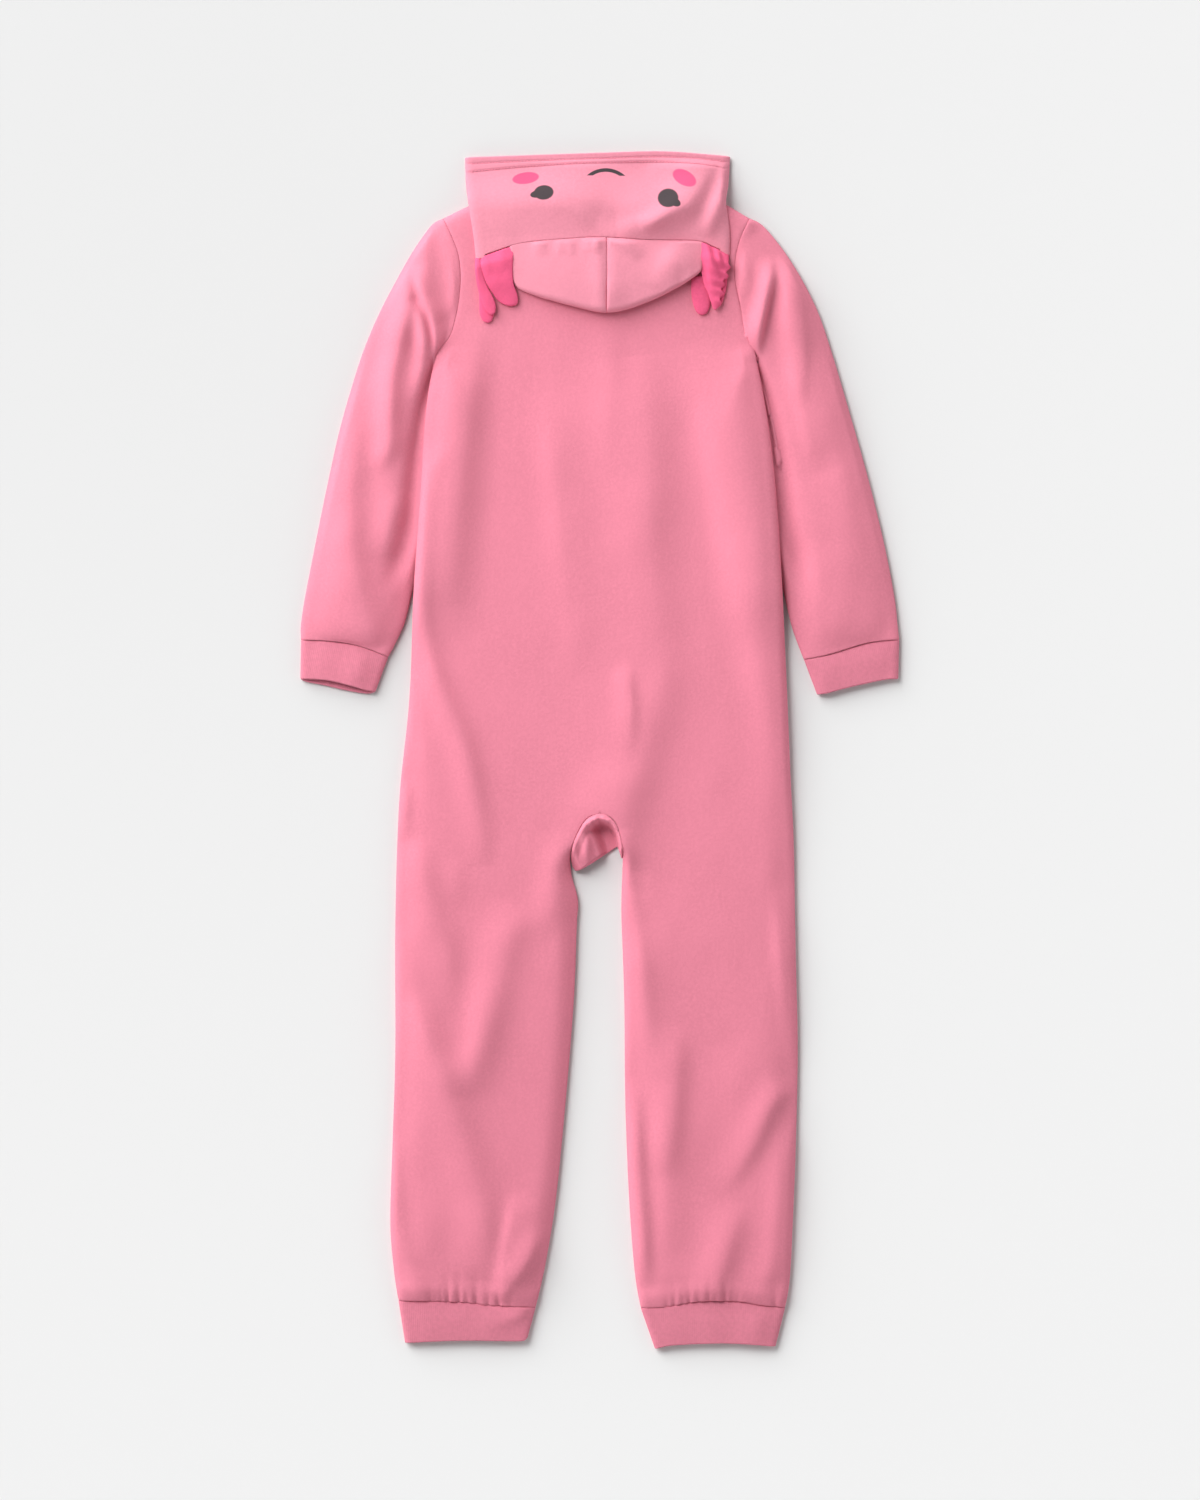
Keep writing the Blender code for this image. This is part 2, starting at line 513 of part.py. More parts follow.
def make_front(name, sign):
    """One front with its leg, from the neck to the leg hem, open along the zip."""
    cloth = Cloth()
    row = None
    for level in ARMHOLE_ROWS + FRONT_ROWS + FRONT_LEG_ROWS + GATHER_ROWS[-1:]:
        leg = level < ARCH_TOP_Y
        at_zip = ZIP_HALF_GAP if level >= ZIP_END_Y else SEAM / 2
        inner_x = inside[sign](level) if leg else sign * at_zip
        fine = level in (ARMHOLE_ROWS[0], GATHER_ROWS[-1])
        following = cloth.row(*panel_row(level, sign, 4, inner_x, EDGE_ROLL if leg else 15.0, False, fine))
        if row:
            cloth.join(row, following)
        row = following
    add_piece(name, *cloth.closed(), fleece)


# ---- flattened tubes: sleeves and cuffs ----
def tube_loop(path, middle, roll, wall, seam_plane, floor, top):
    """One loop of a flattened tube across a path in plan: outer and inner points, upper side then lower."""
    length = np.concatenate([[0], np.cumsum(np.linalg.norm(np.diff(path, axis=0), axis=1))])
    distance, angle, near = edge_columns(length[-1], middle, roll, roll)

    def place(d):
        return np.interp(d, length, path[:, 0]), np.interp(d, length, path[:, 1])

    x, y = place(distance)
    x_in, y_in = place(distance + near * wall * np.cos(angle))
    ground = floor(x, y)
    full = ground + top(x, y, np.minimum(distance, length[-1] - distance))
    plane = ground + seam_plane
    turn = 1 - np.sin(angle)
    upper_out = full - turn * (full - plane)
    upper_in = full - wall - turn * (full - wall - plane)
    lower_out = ground + turn * seam_plane
    lower_in = ground + wall + turn * (seam_plane - wall)
    outer = [np.stack([x, y, upper_out], 1), np.stack([x, y, lower_out], 1)[-2:0:-1]]
    inner = [np.stack([x_in, y_in, upper_in], 1), np.stack([x_in, y_in, lower_in], 1)[-2:0:-1]]
    return np.vstack(outer), np.vstack(inner)


def make_tube(name, loops, finish):
    cloth = Cloth()
    previous = None
    for outer, inner in loops:
        row = cloth.row(outer, inner)
        if previous:
            cloth.join(previous + previous[:1], row + row[:1])
        previous = row
    add_piece(name, *cloth.closed(), finish)


def sleeve_inner_x(sign, y):
    """Inner fold of a sleeve: tucked under the body's side, then clear of it."""
    tuck = -1.0 + (TUCK + 1.0) * ramp(y, 142, 182) * (1 - ramp(y, 292, 324))
    return np.where(y > 138, side[sign](y) - sign * tuck, inner_fold[sign](y))


def make_sleeve(name, sign):
    levels = np.array(ARMHOLE_ROWS)
    lines = [np.column_stack([side[sign](levels) + sign * (SEAM + 0.1), levels])]
    for outer_y, inner_y, bow in SLEEVE_LINES:
        start = np.array((outer_fold[sign](outer_y), outer_y))
        end = np.array((float(sleeve_inner_x(sign, inner_y)), inner_y))
        share = np.linspace(0, 1, 5)[:, None]
        lines.append(spline(start + (end - start) * share + (-sign * bow, 0) * np.sin(math.pi * share), 40))
    lines.append(spline(LEFT_WRIST_TOP if sign < 0 else RIGHT_WRIST_TOP, 40) + (0, SEAM))
    loops = []
    for number, line in enumerate(lines):
        hold = max(0.0, 1 - number / 2)

        def floor(x, y):
            return hold * TUCK_LIFT * (1 - ramp(y, 328, 354))

        def top(x, y, d):
            return FLAT_TOP + np.maximum(loft(d) + ramp(d, 6, 18) * fold_height(SLEEVE_FOLDS, x, y), 0)

        loops.append(tube_loop(line, 5, EDGE_ROLL, FLEECE, SEAM_PLANE, floor, top))
    make_tube(name, loops, fleece)


def ankle_line(sign):
    """The leg's hem, from its side to its inner edge."""
    x = np.linspace(side[sign](GATHER_ROWS[-1]), inside[sign](GATHER_ROWS[-1]), 9)
    return np.column_stack([x, hem[sign](x)])


def make_cuff(name, top_line, end_line, middle, lower_drop=0.0):
    """A rib cuff between two lines; its lower layer may reach further than its upper one."""
    first, last = spline(top_line, 40), spline(end_line, 40)
    first = first + (last - first) / np.linalg.norm(last - first, axis=1)[:, None] * (SEAM + 0.1)
    loops = []
    for share in (0.0, 0.5, 1.0):
        outer, inner = tube_loop(first + (last - first) * share, middle, 6.0, RIB, 2.8, lambda x, y: 0 * x,
                                 lambda x, y, d: 5.8 + (0.4 + lower_drop * 0.25 * share) * ramp(d, 2, 25))
        count = len(outer) // 2 + 1
        step = (last - first).mean(axis=0)
        step = step / np.linalg.norm(step) * lower_drop * share
        bell = np.sin(np.linspace(0, math.pi, len(outer) - count + 2)[1:-1])[:, None]
        outer[count:, :2] += step * bell
        inner[count:, :2] += step * bell
        loops.append((outer, inner))
    make_tube(name, loops, rib)


# ---- gusset ----
def make_gusset():
    cloth = Cloth()
    seam, fold = spline(GUSSET_SEAM, 11), spline(GUSSET_FOLD, 11)
    previous = None
    for share, top, under in GUSSET_LEVELS:
        plan = seam + (fold - seam) * share
        row = cloth.row(np.column_stack([plan, np.full(11, top)]), np.column_stack([plan, np.full(11, under)]))
        if previous:
            cloth.join(previous, row)
        previous = row
    add_piece("crotch_gusset", *cloth.closed(), fleece)


# ---- hood ----
def hood_under(y):
    """Height of the underside of the band's side folds: on the surface, then over the shoulders."""
    return np.interp(y, *HOOD_UNDER_LEVELS)


def hood_top(x, y):
    """Height of the band's upper surface."""
    side_top = 5.0 + 8.3 * ramp(-y, -510, -468)
    dome = (0.6 + 2.2 * ramp(-y, -515, -455)) * (1 - (x / 118) ** 2)
    fold = ramp(117 - np.abs(x), 6, 18) * ramp(-y, -519, -508) * fold_height(HOOD_FOLDS, x, y)
    return side_top + dome + fold


def make_hood_band():
    """Band round the face opening: a flat ring split at the front, whose upper side goes on to the crown."""
    cloth = Cloth()
    roll_angles = np.radians((-90, -45, 0, 45, 90))
    lower_shares = np.array((0.0, 0.1, 0.3, 0.5, 0.75, 1.0))
    previous_ring = previous_top = None
    for number, share in enumerate(HOOD_ROWS):
        def level(x):
            return hood_hem(x) + (hood_seam(x) + SEAM - hood_hem(x)) * share

        parts = {}
        for sign in (-1, 1):
            edge_y = level(sign * 115.0)
            edge_x = hood_edge[sign](edge_y)
            inward = HOOD_ROLL * (1 - np.cos(roll_angles))
            x = edge_x - sign * inward
            y = np.full(5, edge_y) if number else level(x)
            under, top = hood_under(edge_y), hood_top(x, y)
            middle = (under + top) / 2
            up = np.sin(roll_angles)
            z = np.where(up > 0, middle + (top - middle) * up, middle + (middle - under) * up)
            z_in = np.where(up > 0, middle + (top - FLEECE - middle) * up,
                            middle + (middle - under - FLEECE) * up)
            x_in = x - sign * FLEECE * np.cos(roll_angles)
            parts[sign] = (np.stack([x, y, z], 1), np.stack([x_in, y, z_in], 1))
        x = np.linspace(parts[-1][0][-1, 0], parts[1][0][-1, 0], 12)[1:-1]
        y = level(x)
        z = hood_top(x, y)
        upper = (np.stack([x, y, z], 1), np.stack([x, y, z - FLEECE], 1))
        top_row = [np.vstack([parts[-1][k], upper[k], parts[1][k][::-1]]) for k in (0, 1)]
        if number < RING_ROWS:
            lower = {}
            for sign in (-1, 1):
                first_x, first_y = parts[sign][0][0, :2]
                x = sign * np.array((SEAM / 2, *LOWER_COLUMNS))
                end = front_top(np.abs(x)) + SEAM + 4.3 * ramp(np.abs(x), 60, 92)
                start = hood_hem(x) - 1.5
                y = start + (end - start) * lower_shares[number]
                y[-1] = (y[-1] + first_y) / 2
                lower[sign] = (np.stack([x, y, 0 * x], 1), np.stack([x, y, 0 * x + FLEECE], 1))
            ring = [np.vstack([lower[-1][k], top_row[k], lower[1][k][::-1]]) for k in (0, 1)]
            row = cloth.row(*ring)
            if previous_ring:
                cloth.join(previous_ring, row)
            previous_ring, previous_top = row, row[5:-5]
        else:
            row = cloth.row(*top_row)
            cloth.join(previous_top, row)
            previous_top = row
    add_piece("hood_band", *cloth.closed(), hood_fleece)


def make_crown(name, sign):
    """Half of the hood's crown: from the band over its fold and back under to the neck seam."""
    side_x = CROWN_SIDES[0 if sign < 0 else 1]
    share = np.linspace(0, 1, 8)
    middle_x = CROWN_MIDDLE + sign * SEAM / 2
    seam_x = middle_x + (side_x - middle_x) * share
    fold_reach = side_x - sign * 1.4
    fold_x = middle_x + (fold_reach - middle_x) * share
    columns = []
    for x_seam, x_fold, across in zip(seam_x, fold_x, share):
        height = CROWN_HEIGHT - 2.2 * across ** 2
        radius = height / 2
        y_seam = float(hood_seam(x_seam)) - SEAM
        y_fold = float(crown_fold(x_fold))
        z_seam = float(hood_top(x_seam, y_seam + SEAM))
        y_turn = y_fold + radius
        low_turn = float(body_top(np.array(x_fold), np.array(y_turn))) + CROWN_RISE
        points = []
        for k in (0.0, 0.25, 0.5, 0.75):
            y = y_seam + (y_turn - y_seam) * k
            z = z_seam + (low_turn + height - z_seam) * k + (1.2 - 0.8 * across) * math.sin(math.pi * k)
            points.append((x_seam + (x_fold - x_seam) * k, y, z))
        for degrees in (90, 45, 0, -45, -90):
            a = math.radians(degrees)
            points.append((x_fold, y_turn - radius * math.cos(a), low_turn + radius + radius * math.sin(a)))
        y_neck = float(back_top(abs(x_seam))) - 1.0
        for k in (0.35, 0.7, 1.0):
            x = x_fold + (x_seam - x_fold) * k
            y = y_turn + (y_neck - y_turn) * k
            points.append((x, y, float(body_top(np.array(x), np.array(y))) + CROWN_RISE))
        columns.append(points)
    outer = np.array(columns)
    inner = offset_inward(outer, -sign * FLEECE)
    inner[0, :, 0] = outer[0, :, 0]
    cloth = Cloth()
    previous = None
    for k in range(len(share)):
        row = cloth.row(outer[k], inner[k])
        if previous:
            cloth.join(previous, row)
        previous = row
    add_piece(name, *cloth.closed(), hood_fleece)


def make_gill(name, rows):
    """A petal sewn from two layers and turned: a flat lens that follows its rows."""
    line = spline(rows, 9)
    tangent = np.gradient(line[:, :2], axis=0)
    tangent /= np.linalg.norm(tangent, axis=1)[:, None]
    across = np.column_stack([-tangent[:, 1], tangent[:, 0]])
    turn = np.linspace(0, 2 * math.pi, 10, endpoint=False)
    points, rings = [], []
    for (x, y, half_width, over), normal in zip(line, across):
        half_height = min(GILL_THICKNESS / 2, half_width * 0.6)
        middle = float(body_top(np.array(x), np.array(y))) + over + GILL_THICKNESS / 2
        start = len(points)
        for a in turn:
            offset = half_width * math.cos(a)
            points.append((x + normal[0] * offset, y + normal[1] * offset, middle + half_height * math.sin(a)))
        rings.append(list(range(start, len(points))))
    faces = [tuple(rings[0]), tuple(reversed(rings[-1]))]
    for a, b in zip(rings[:-1], rings[1:]):
        faces += [(a[k - 1], a[k], b[k], b[k - 1]) for k in range(len(turn))]
    add_piece(name, points, faces, gill_fleece)


# ---- zip ----
def make_tape(name, sign):
    """One tape with its half of the coil."""
    points, rings = [], []
    levels = (TAPE_END_Y, COIL_END_Y + 0.3, COIL_END_Y, 427.0, 415.0, 400.0, 380.0, 340.0, 200.0, 90.0,
              ZIP_END_Y + 0.4)
    for y in levels:
        whole = y <= COIL_END_Y
        near = SEAM / 2 if whole else COIL_HALF_WIDTH - 0.2
        high = COIL_HALF_HEIGHT if whole else TAPE_HALF + 0.05
        section = ((near, -high), (COIL_HALF_WIDTH, -high), (COIL_HALF_WIDTH, -TAPE_HALF),
                   (TAPE_EDGE, -TAPE_HALF), (TAPE_EDGE, TAPE_HALF), (COIL_HALF_WIDTH, TAPE_HALF),
                   (COIL_HALF_WIDTH, high), (near, high))
        start = len(points)
        for x, z in section:
            points.append((sign * x, y, ZIP_MIDDLE + z + float(zip_raise(0.0, y))))
        rings.append(list(range(start, len(points))))
    faces = [tuple(rings[0]), tuple(reversed(rings[-1]))]
    for a, b in zip(rings[:-1], rings[1:]):
        faces += [(a[k - 1], a[k], b[k], b[k - 1]) for k in range(len(a))]
    add_piece(name, points, faces, zip_tape)


def box_mesh(bm, low, high):
    made = bmesh.ops.create_cube(bm, size=1.0)["verts"]
    low, high = Vector(low), Vector(high)
    for v in made:
        v.co = Vector([(low[k] + (v.co[k] + 0.5) * (high[k] - low[k])) * MM for k in range(3)])


def box_piece(name, low, high, finish, helper=False):
    mesh = bpy.data.meshes.new(name)
    bm = bmesh.new()
    box_mesh(bm, low, high)
    bmesh.ops.recalc_face_normals(bm, faces=bm.faces[:])
    bm.to_mesh(mesh)
    bm.free()
    mesh.materials.append(finish)
    piece = bpy.data.objects.new(name, mesh)
    (helpers if helper else suit).objects.link(piece)
    piece.hide_render = helper
    if helper:
        piece.display_type = "WIRE"
    return piece


def fuse(piece, others, operation="UNION"):
    for other in others:
        step = piece.modifiers.new(other.name, "BOOLEAN")
        step.operation = operation
        step.object = other


def make_slider():
    """Two plates joined by a post, with a bridge under them that holds the pull."""
    coil = ZIP_MIDDLE + SLIDER_RAISE
    low = coil - COIL_HALF_HEIGHT - SLIDER_SPACE
    high = coil + COIL_HALF_HEIGHT + SLIDER_SPACE
    half = SLIDER_WIDTH / 2
    back_y, front_y = SLIDER_Y - SLIDER_LENGTH / 2, SLIDER_Y + SLIDER_LENGTH / 2
    into = SLIDER_PLATE / 2
    first, last = SLIDER_Y - BRIDGE_REACH, SLIDER_Y + BRIDGE_REACH
    slider = box_piece("zip_slider", (-half, back_y, low - SLIDER_PLATE), (half, front_y, low), zip_metal)
    boxes = {
        "slider_top": ((-half, back_y, high), (half, front_y, high + SLIDER_PLATE)),
        "slider_post": ((-POST_HALF, front_y - 1.4, low - into), (POST_HALF, front_y - 0.1, high + into)),
        "bridge_back": ((-POST_HALF, first, BRIDGE_LOW), (POST_HALF, first + BRIDGE_WALL, low - into)),
        "bridge_front": ((-POST_HALF, last - BRIDGE_WALL, BRIDGE_LOW), (POST_HALF, last, low - into)),
        "bridge_bar": ((-POST_HALF - MERGE, first - MERGE, BRIDGE_LOW - MERGE),
                       (POST_HALF + MERGE, last + MERGE, BRIDGE_BAR_TOP)),
    }
    fuse(slider, [box_piece(name, *corners, zip_metal, True) for name, corners in boxes.items()])


def make_pull():
    """The pull tab, with its eye round the slider's bridge; its origin is on its hinge axis."""
    half, thick = PULL_WIDTH / 2, PULL_THICKNESS / 2
    pull = box_piece("zip_pull", (-half, -PULL_LENGTH, -thick), (half, thick, thick), zip_metal)
    width, length, height = EYE
    eye = box_piece("pull_eye", (-width / 2, -thick - length, -height / 2), (width / 2, -thick, height / 2),
                    zip_metal, True)
    fuse(pull, [eye], "DIFFERENCE")
    place = Vector((0.0, SLIDER_Y, PULL_AXIS_Z)) * MM
    for part in (pull, eye):
        part.location = place
        part.rotation_euler = (math.radians(PULL_REST_DEG), 0, 0)


# ---- start ----
for old in list(bpy.data.objects):
    bpy.data.objects.remove(old, do_unlink=True)
suit = bpy.data.collections.new("sleep_suit")
helpers = bpy.data.collections.new("helpers")
for collection in (suit, helpers):
    bpy.context.scene.collection.children.link(collection)

fleece = material("fleece", (0.80, 0.29, 0.38), 0.95)
hood_fleece = material("hood_fleece", (0.84, 0.38, 0.46), 0.95)
rib = material("rib", (0.76, 0.25, 0.34), 0.9)
gill_fleece = material("gill_fleece", (0.80, 0.09, 0.25), 0.95)
zip_tape = material("zip_tape", (0.74, 0.27, 0.36), 0.8)
zip_metal = material("zip_metal", (0.80, 0.80, 0.80), 0.35, 1.0)

make_back()
make_front("front_left", -1)
make_front("front_right", 1)
make_gusset()
make_sleeve("sleeve_left", -1)
make_sleeve("sleeve_right", 1)
make_cuff("sleeve_cuff_left", LEFT_WRIST_TOP, LEFT_WRIST_END, 3, 5.0)
make_cuff("sleeve_cuff_right", RIGHT_WRIST_TOP, RIGHT_WRIST_END, 3)
make_cuff("leg_cuff_left", ankle_line(-1), LEFT_ANKLE_END, 9)
make_cuff("leg_cuff_right", ankle_line(1), RIGHT_ANKLE_END, 9)
make_hood_band()
make_crown("hood_crown_left", -1)
make_crown("hood_crown_right", 1)
for gill_name, gill_rows in GILLS.items():
    make_gill(gill_name, gill_rows)
make_tape("zip_left", -1)
make_tape("zip_right", 1)
make_slider()
make_pull()
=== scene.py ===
# Looks of a child's hooded fleece one-piece, laid face down with its hood folded onto the shoulders.
# Every cloth piece is a thin closed wall whose outer face is a function of two parameters on a grid.
# Sizes are in millimetres and are turned into metres where a mesh is made.
import math

import bmesh
import bpy
import numpy as np
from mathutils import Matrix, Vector


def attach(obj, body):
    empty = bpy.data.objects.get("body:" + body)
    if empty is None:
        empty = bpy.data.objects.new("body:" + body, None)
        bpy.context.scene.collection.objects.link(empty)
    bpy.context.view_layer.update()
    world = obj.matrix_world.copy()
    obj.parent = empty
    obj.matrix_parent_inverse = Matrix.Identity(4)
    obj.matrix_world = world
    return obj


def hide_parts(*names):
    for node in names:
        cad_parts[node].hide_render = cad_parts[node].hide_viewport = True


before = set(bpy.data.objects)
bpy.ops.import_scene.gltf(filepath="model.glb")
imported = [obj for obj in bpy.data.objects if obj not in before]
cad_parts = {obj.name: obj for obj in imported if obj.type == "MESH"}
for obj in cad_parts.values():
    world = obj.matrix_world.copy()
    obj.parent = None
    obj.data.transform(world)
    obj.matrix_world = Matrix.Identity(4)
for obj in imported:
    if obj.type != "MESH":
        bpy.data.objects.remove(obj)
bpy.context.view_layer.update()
print("frame loaded:", len(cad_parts), "nodes")

mm = 0.001
suit = {
    "fleeceWall": 2.2,
    "ribWall": 2.4,
    "seamGap": 0.05,
    "seamHeight": 3.0,     # of the side seams over the surface
    "flatTop": 5.8,        # of two layers lying on each other
    "loft": 5.0,           # how much the back puffs up away from its edges
    "loftReach": 24.0,
    "roll": 7.0,           # how far in from a side the cloth rolls over
    "archTop": -54.8,
    "zipEnd": -5.0,
    "zipHalfGap": 4.5,
    "zipHeight": 2.75,
    "tuck": 8.0,           # how far the sleeves reach under the body's sides
    "tuckLift": 6.8,
    "sliderAt": 433.0,
    "sliderRaise": 1.0,
    "sliderReach": (34.0, 26.0),
    "shoulderTip": 462.8,
    "underarm": 341.0,
    "legEnd": -480.0,
    "topReach": 80.0,
    "middleRoll": 26.0,
    "liftReach": (12.0, 66.0),      # how far in from a side the sleeve underneath raises the back
    "frontLiftReach": (9.0, 50.0),
    "liftLevels": (70.0, 150.0, 328.0, 354.0),      # where that lift starts, is full, ebbs and ends
    "legRoll": (82.0, 106.0),      # how far down the legs' inner edges begin to roll and are rolled
    "past": 60.0,            # takes an edge out of reach where the cloth goes on
    "hemLoft": 0.3,          # share of the loft that is left at the leg hems
    "foldStrength": 2.0,
}
# outlines seen from above, as x and y; sign -1 is the left side and 1 the right one
outline = {
    "side": {
        -1: ((-142.7, 341.0), (-151.4, 295.8), (-156.6, 215.8), (-162.2, 137.5), (-166.2, 43.5),
             (-174.9, -43.5), (-178.4, -152.3), (-178.4, -261.0), (-181.0, -348.0), (-182.7, -413.0),
             (-179.2, -457.0), (-175.5, -480.0)),
        1: ((135.7, 341.0), (147.9, 273.2), (155.4, 192.3), (161.4, 86.1), (166.2, -26.1),
            (168.8, -80.0), (170.5, -174.0), (172.3, -261.0), (170.5, -348.0), (167.9, -413.0),
            (165.3, -457.0), (160.5, -484.0)),
    },
    "armhole": {
        -1: ((-136.6, 462.8), (-129.6, 448.1), (-123.5, 432.4), (-121.2, 415.0), (-121.8, 397.6),
             (-124.7, 378.5), (-130.5, 359.3), (-142.7, 341.0)),
        1: ((130.5, 462.8), (122.0, 445.0), (117.5, 425.4), (117.5, 407.2), (121.3, 388.9),
            (126.2, 367.1), (135.7, 341.0)),
    },
    "inside": {
        -1: ((0.0, -54.8), (-10.4, -58.7), (-16.5, -66.0), (-22.6, -79.2), (-25.8, -92.2),
             (-24.4, -109.6), (-19.0, -130.5), (-20.0, -152.3), (-22.6, -217.5), (-29.6, -304.5),
             (-38.3, -391.5), (-47.0, -443.0), (-57.2, -485.1)),
        1: ((0.0, -54.8), (8.7, -58.0), (14.8, -65.3), (19.1, -80.5), (19.7, -92.0),
            (18.5, -130.5), (18.7, -152.3), (20.9, -217.5), (21.8, -304.5), (25.2, -391.5),
            (30.0, -450.0), (36.4, -485.5)),
    },
    "hem": {
        -1: ((-182.0, -479.2), (-124.4, -480.2), (-99.2, -482.9), (-57.8, -485.1), (-45.0, -485.3)),
        1: ((30.0, -485.8), (56.2, -484.6), (88.4, -479.7), (122.0, -480.0), (139.2, -482.9),
            (163.0, -485.5)),
    },
    "backTop": ((0.0, 459.4), (30.0, 459.9), (60.0, 463.5), (80.0, 472.0), (88.0, 479.4),
                (110.0, 475.2), (136.6, 462.8)),
    "frontTop": ((0.0, 445.4), (30.0, 447.5), (60.0, 457.0), (80.0, 471.0), (88.0, 479.4),
                 (110.0, 475.2), (136.6, 462.8)),
}


def curve(points, count):
    # smooth curve through the points (Catmull-Rom), given as points evenly spaced along it
    p = np.array(points, float)
    ends = np.vstack([2 * p[0] - p[1], p, 2 * p[-1] - p[-2]])
    t = np.linspace(0, 1, 12, endpoint=False)[None, :, None]
    a, b, c, d = (ends[k:len(ends) - 3 + k, None] for k in range(4))
    runs = 0.5 * (2 * b + (c - a) * t + (2 * a - 5 * b + 4 * c - d) * t ** 2
                  + (3 * b - a - 3 * c + d) * t ** 3)
    line = np.vstack([runs.reshape(-1, p.shape[1]), p[-1:]])
    length = np.concatenate([[0], np.cumsum(np.linalg.norm(np.diff(line, axis=0), axis=1))])
    at = np.linspace(0, length[-1], count)
    return np.stack([np.interp(at, length, column) for column in line.T], axis=1)


def xAlong(points):
    line = curve(points, 160)
    line = line[np.argsort(line[:, 1])]
    return lambda y: np.interp(y, line[:, 1], line[:, 0])


def yAlong(points):
    line = curve(points, 160)
    line = line[np.argsort(line[:, 0])]
    return lambda x: np.interp(x, line[:, 0], line[:, 1])


def spaced(start, *runs):
    # rising or falling values, each run given as its end and its number of values, with the one it starts at
    values = [np.array([start], float)]
    for end, count in runs:
        values.append(np.linspace(values[-1][-1], end, count)[1:])
    return np.concatenate(values)


def smooth(value, start, end):
    # 0 at start and 1 at end, with level ends; start and end may be arrays
    t = np.clip((np.asarray(value, float) - start) / (end - start), 0, 1)
    return t * t * (3 - 2 * t)


def uneven(x, y, size, seed):
    # random heights from -1 to 1 on a square lattice of that size, joined by smooth steps
    heights = np.random.default_rng(seed).uniform(-1, 1, (64, 64))
    u, v = np.asarray(x, float) / size + 20, np.asarray(y, float) / size + 20
    i, j = np.floor(u).astype(int), np.floor(v).astype(int)
    s, t = smooth(u - i, 0, 1), smooth(v - j, 0, 1)
    low = heights[i % 64, j % 64] * (1 - s) + heights[(i + 1) % 64, j % 64] * s
    high = heights[i % 64, (j + 1) % 64] * (1 - s) + heights[(i + 1) % 64, (j + 1) % 64] * s
    return low * (1 - t) + high * t


def besideLine(points, x, y):
    # distance from a smooth line, positive on its right going down the garment, and the line's third value
    # at the nearest point
    line = curve(points, 30)
    start, step = line[:-1], np.diff(line, axis=0)
    x, y = x[..., None], y[..., None]
    share = ((x - start[:, 0]) * step[:, 0] + (y - start[:, 1]) * step[:, 1]) / (step[:, :2] ** 2).sum(axis=1)
    share = np.clip(share, 0, 1)
    dx, dy = x - start[:, 0] - share * step[:, 0], y - start[:, 1] - share * step[:, 1]
    away = np.hypot(dx, dy)
    nearest = away.argmin(axis=-1)[..., None]
    side = np.sign(step[:, 0] * dy - step[:, 1] * dx)
    third = start[:, 2] + share * step[:, 2]
    return [np.take_along_axis(values, nearest, -1)[..., 0] for values in (away * side, third)]


def folds(table, x, y):
    # sum of soft folds. A fold is steep over its half width about a smooth line of points with heights, and
    # slopes away over its far width behind the crest, which lies left of the line, or right of it where the
    # heights are negative
    x, y = np.broadcast_arrays(np.asarray(x, float), np.asarray(y, float))
    total = np.zeros(x.shape)
    for halfWidth, farWidth, points in table:
        box = np.array(points)
        reach = 2.5 * farWidth
        near = ((x > box[:, 0].min() - reach) & (x < box[:, 0].max() + reach)
                & (y > box[:, 1].min() - reach) & (y < box[:, 1].max() + reach))
        away, height = besideLine(points, x[near], y[near])
        past = away * np.where(height < 0, -1, 1) + 1.27 * halfWidth
        width = np.where(past < 0, farWidth, 1.8 * halfWidth)
        total[near] += np.abs(height) * np.exp(-(past / width) ** 2)
    return total * (1 + 0.12 * uneven(x, y, 31, 7))


sideX = {s: xAlong(outline["armhole"][s][:-1] + outline["side"][s]) for s in (-1, 1)}
insideX = {s: xAlong(outline["inside"][s]) for s in (-1, 1)}
hemY = {s: yAlong(outline["hem"][s]) for s in (-1, 1)}
backTopY, frontTopY = yAlong(outline["backTop"]), yAlong(outline["frontTop"])


def unit(vectors):
    return vectors / np.maximum(np.linalg.norm(vectors, axis=-1, keepdims=True), 1e-9)


def arcFrom(grid, axis, last=False):
    # distance of each point of a grid from the first (or last) row or column, along the cloth
    step = np.linalg.norm(np.diff(grid, axis=axis), axis=2)
    pad = [(0, 0), (0, 0)]
    pad[axis] = (1, 0)
    length = np.cumsum(np.pad(step, pad), axis=axis)
    return np.take(length, [-1], axis=axis) - length if last else length


def fromEdges(grid):
    return np.minimum(np.minimum(arcFrom(grid, 0), arcFrom(grid, 0, True)),
                      np.minimum(arcFrom(grid, 1), arcFrom(grid, 1, True)))


def normalsOf(grid, wrap, towards):
    # unit normals of a grid, on the side that the given direction (one vector, or one for each point) names.
    # They lean a little that way, which steadies them where rows nearly meet
    if wrap:
        across = np.roll(grid, -1, axis=1) - np.roll(grid, 1, axis=1)
    else:
        across = np.gradient(grid, axis=1)
    along = np.gradient(grid, axis=0)
    normal = np.cross(across, along)
    normal *= 1 if (normal * towards).sum() > 0 else -1
    guide = unit(np.broadcast_to(np.asarray(towards, float), grid.shape))
    size = np.linalg.norm(across, axis=2) * np.linalg.norm(along, axis=2)
    normal = unit(normal + 0.07 * size[:, :, None] * guide)
    turned = (normal * guide).sum(axis=2) < -0.2
    normal[turned] *= -1
    return normal


def softEdge(distance, reach):
    # 0 at an edge and 1 past the reach, as a quarter circle
    return np.sqrt(np.clip(1 - (1 - np.clip(distance / reach, 0, 1)) ** 2, 0, 1))


def seamEdge(distance):
    # a seam's edge is rounded a little, and the wall keeps most of its thickness there
    return 0.78 + 0.22 * softEdge(distance, 0.9)


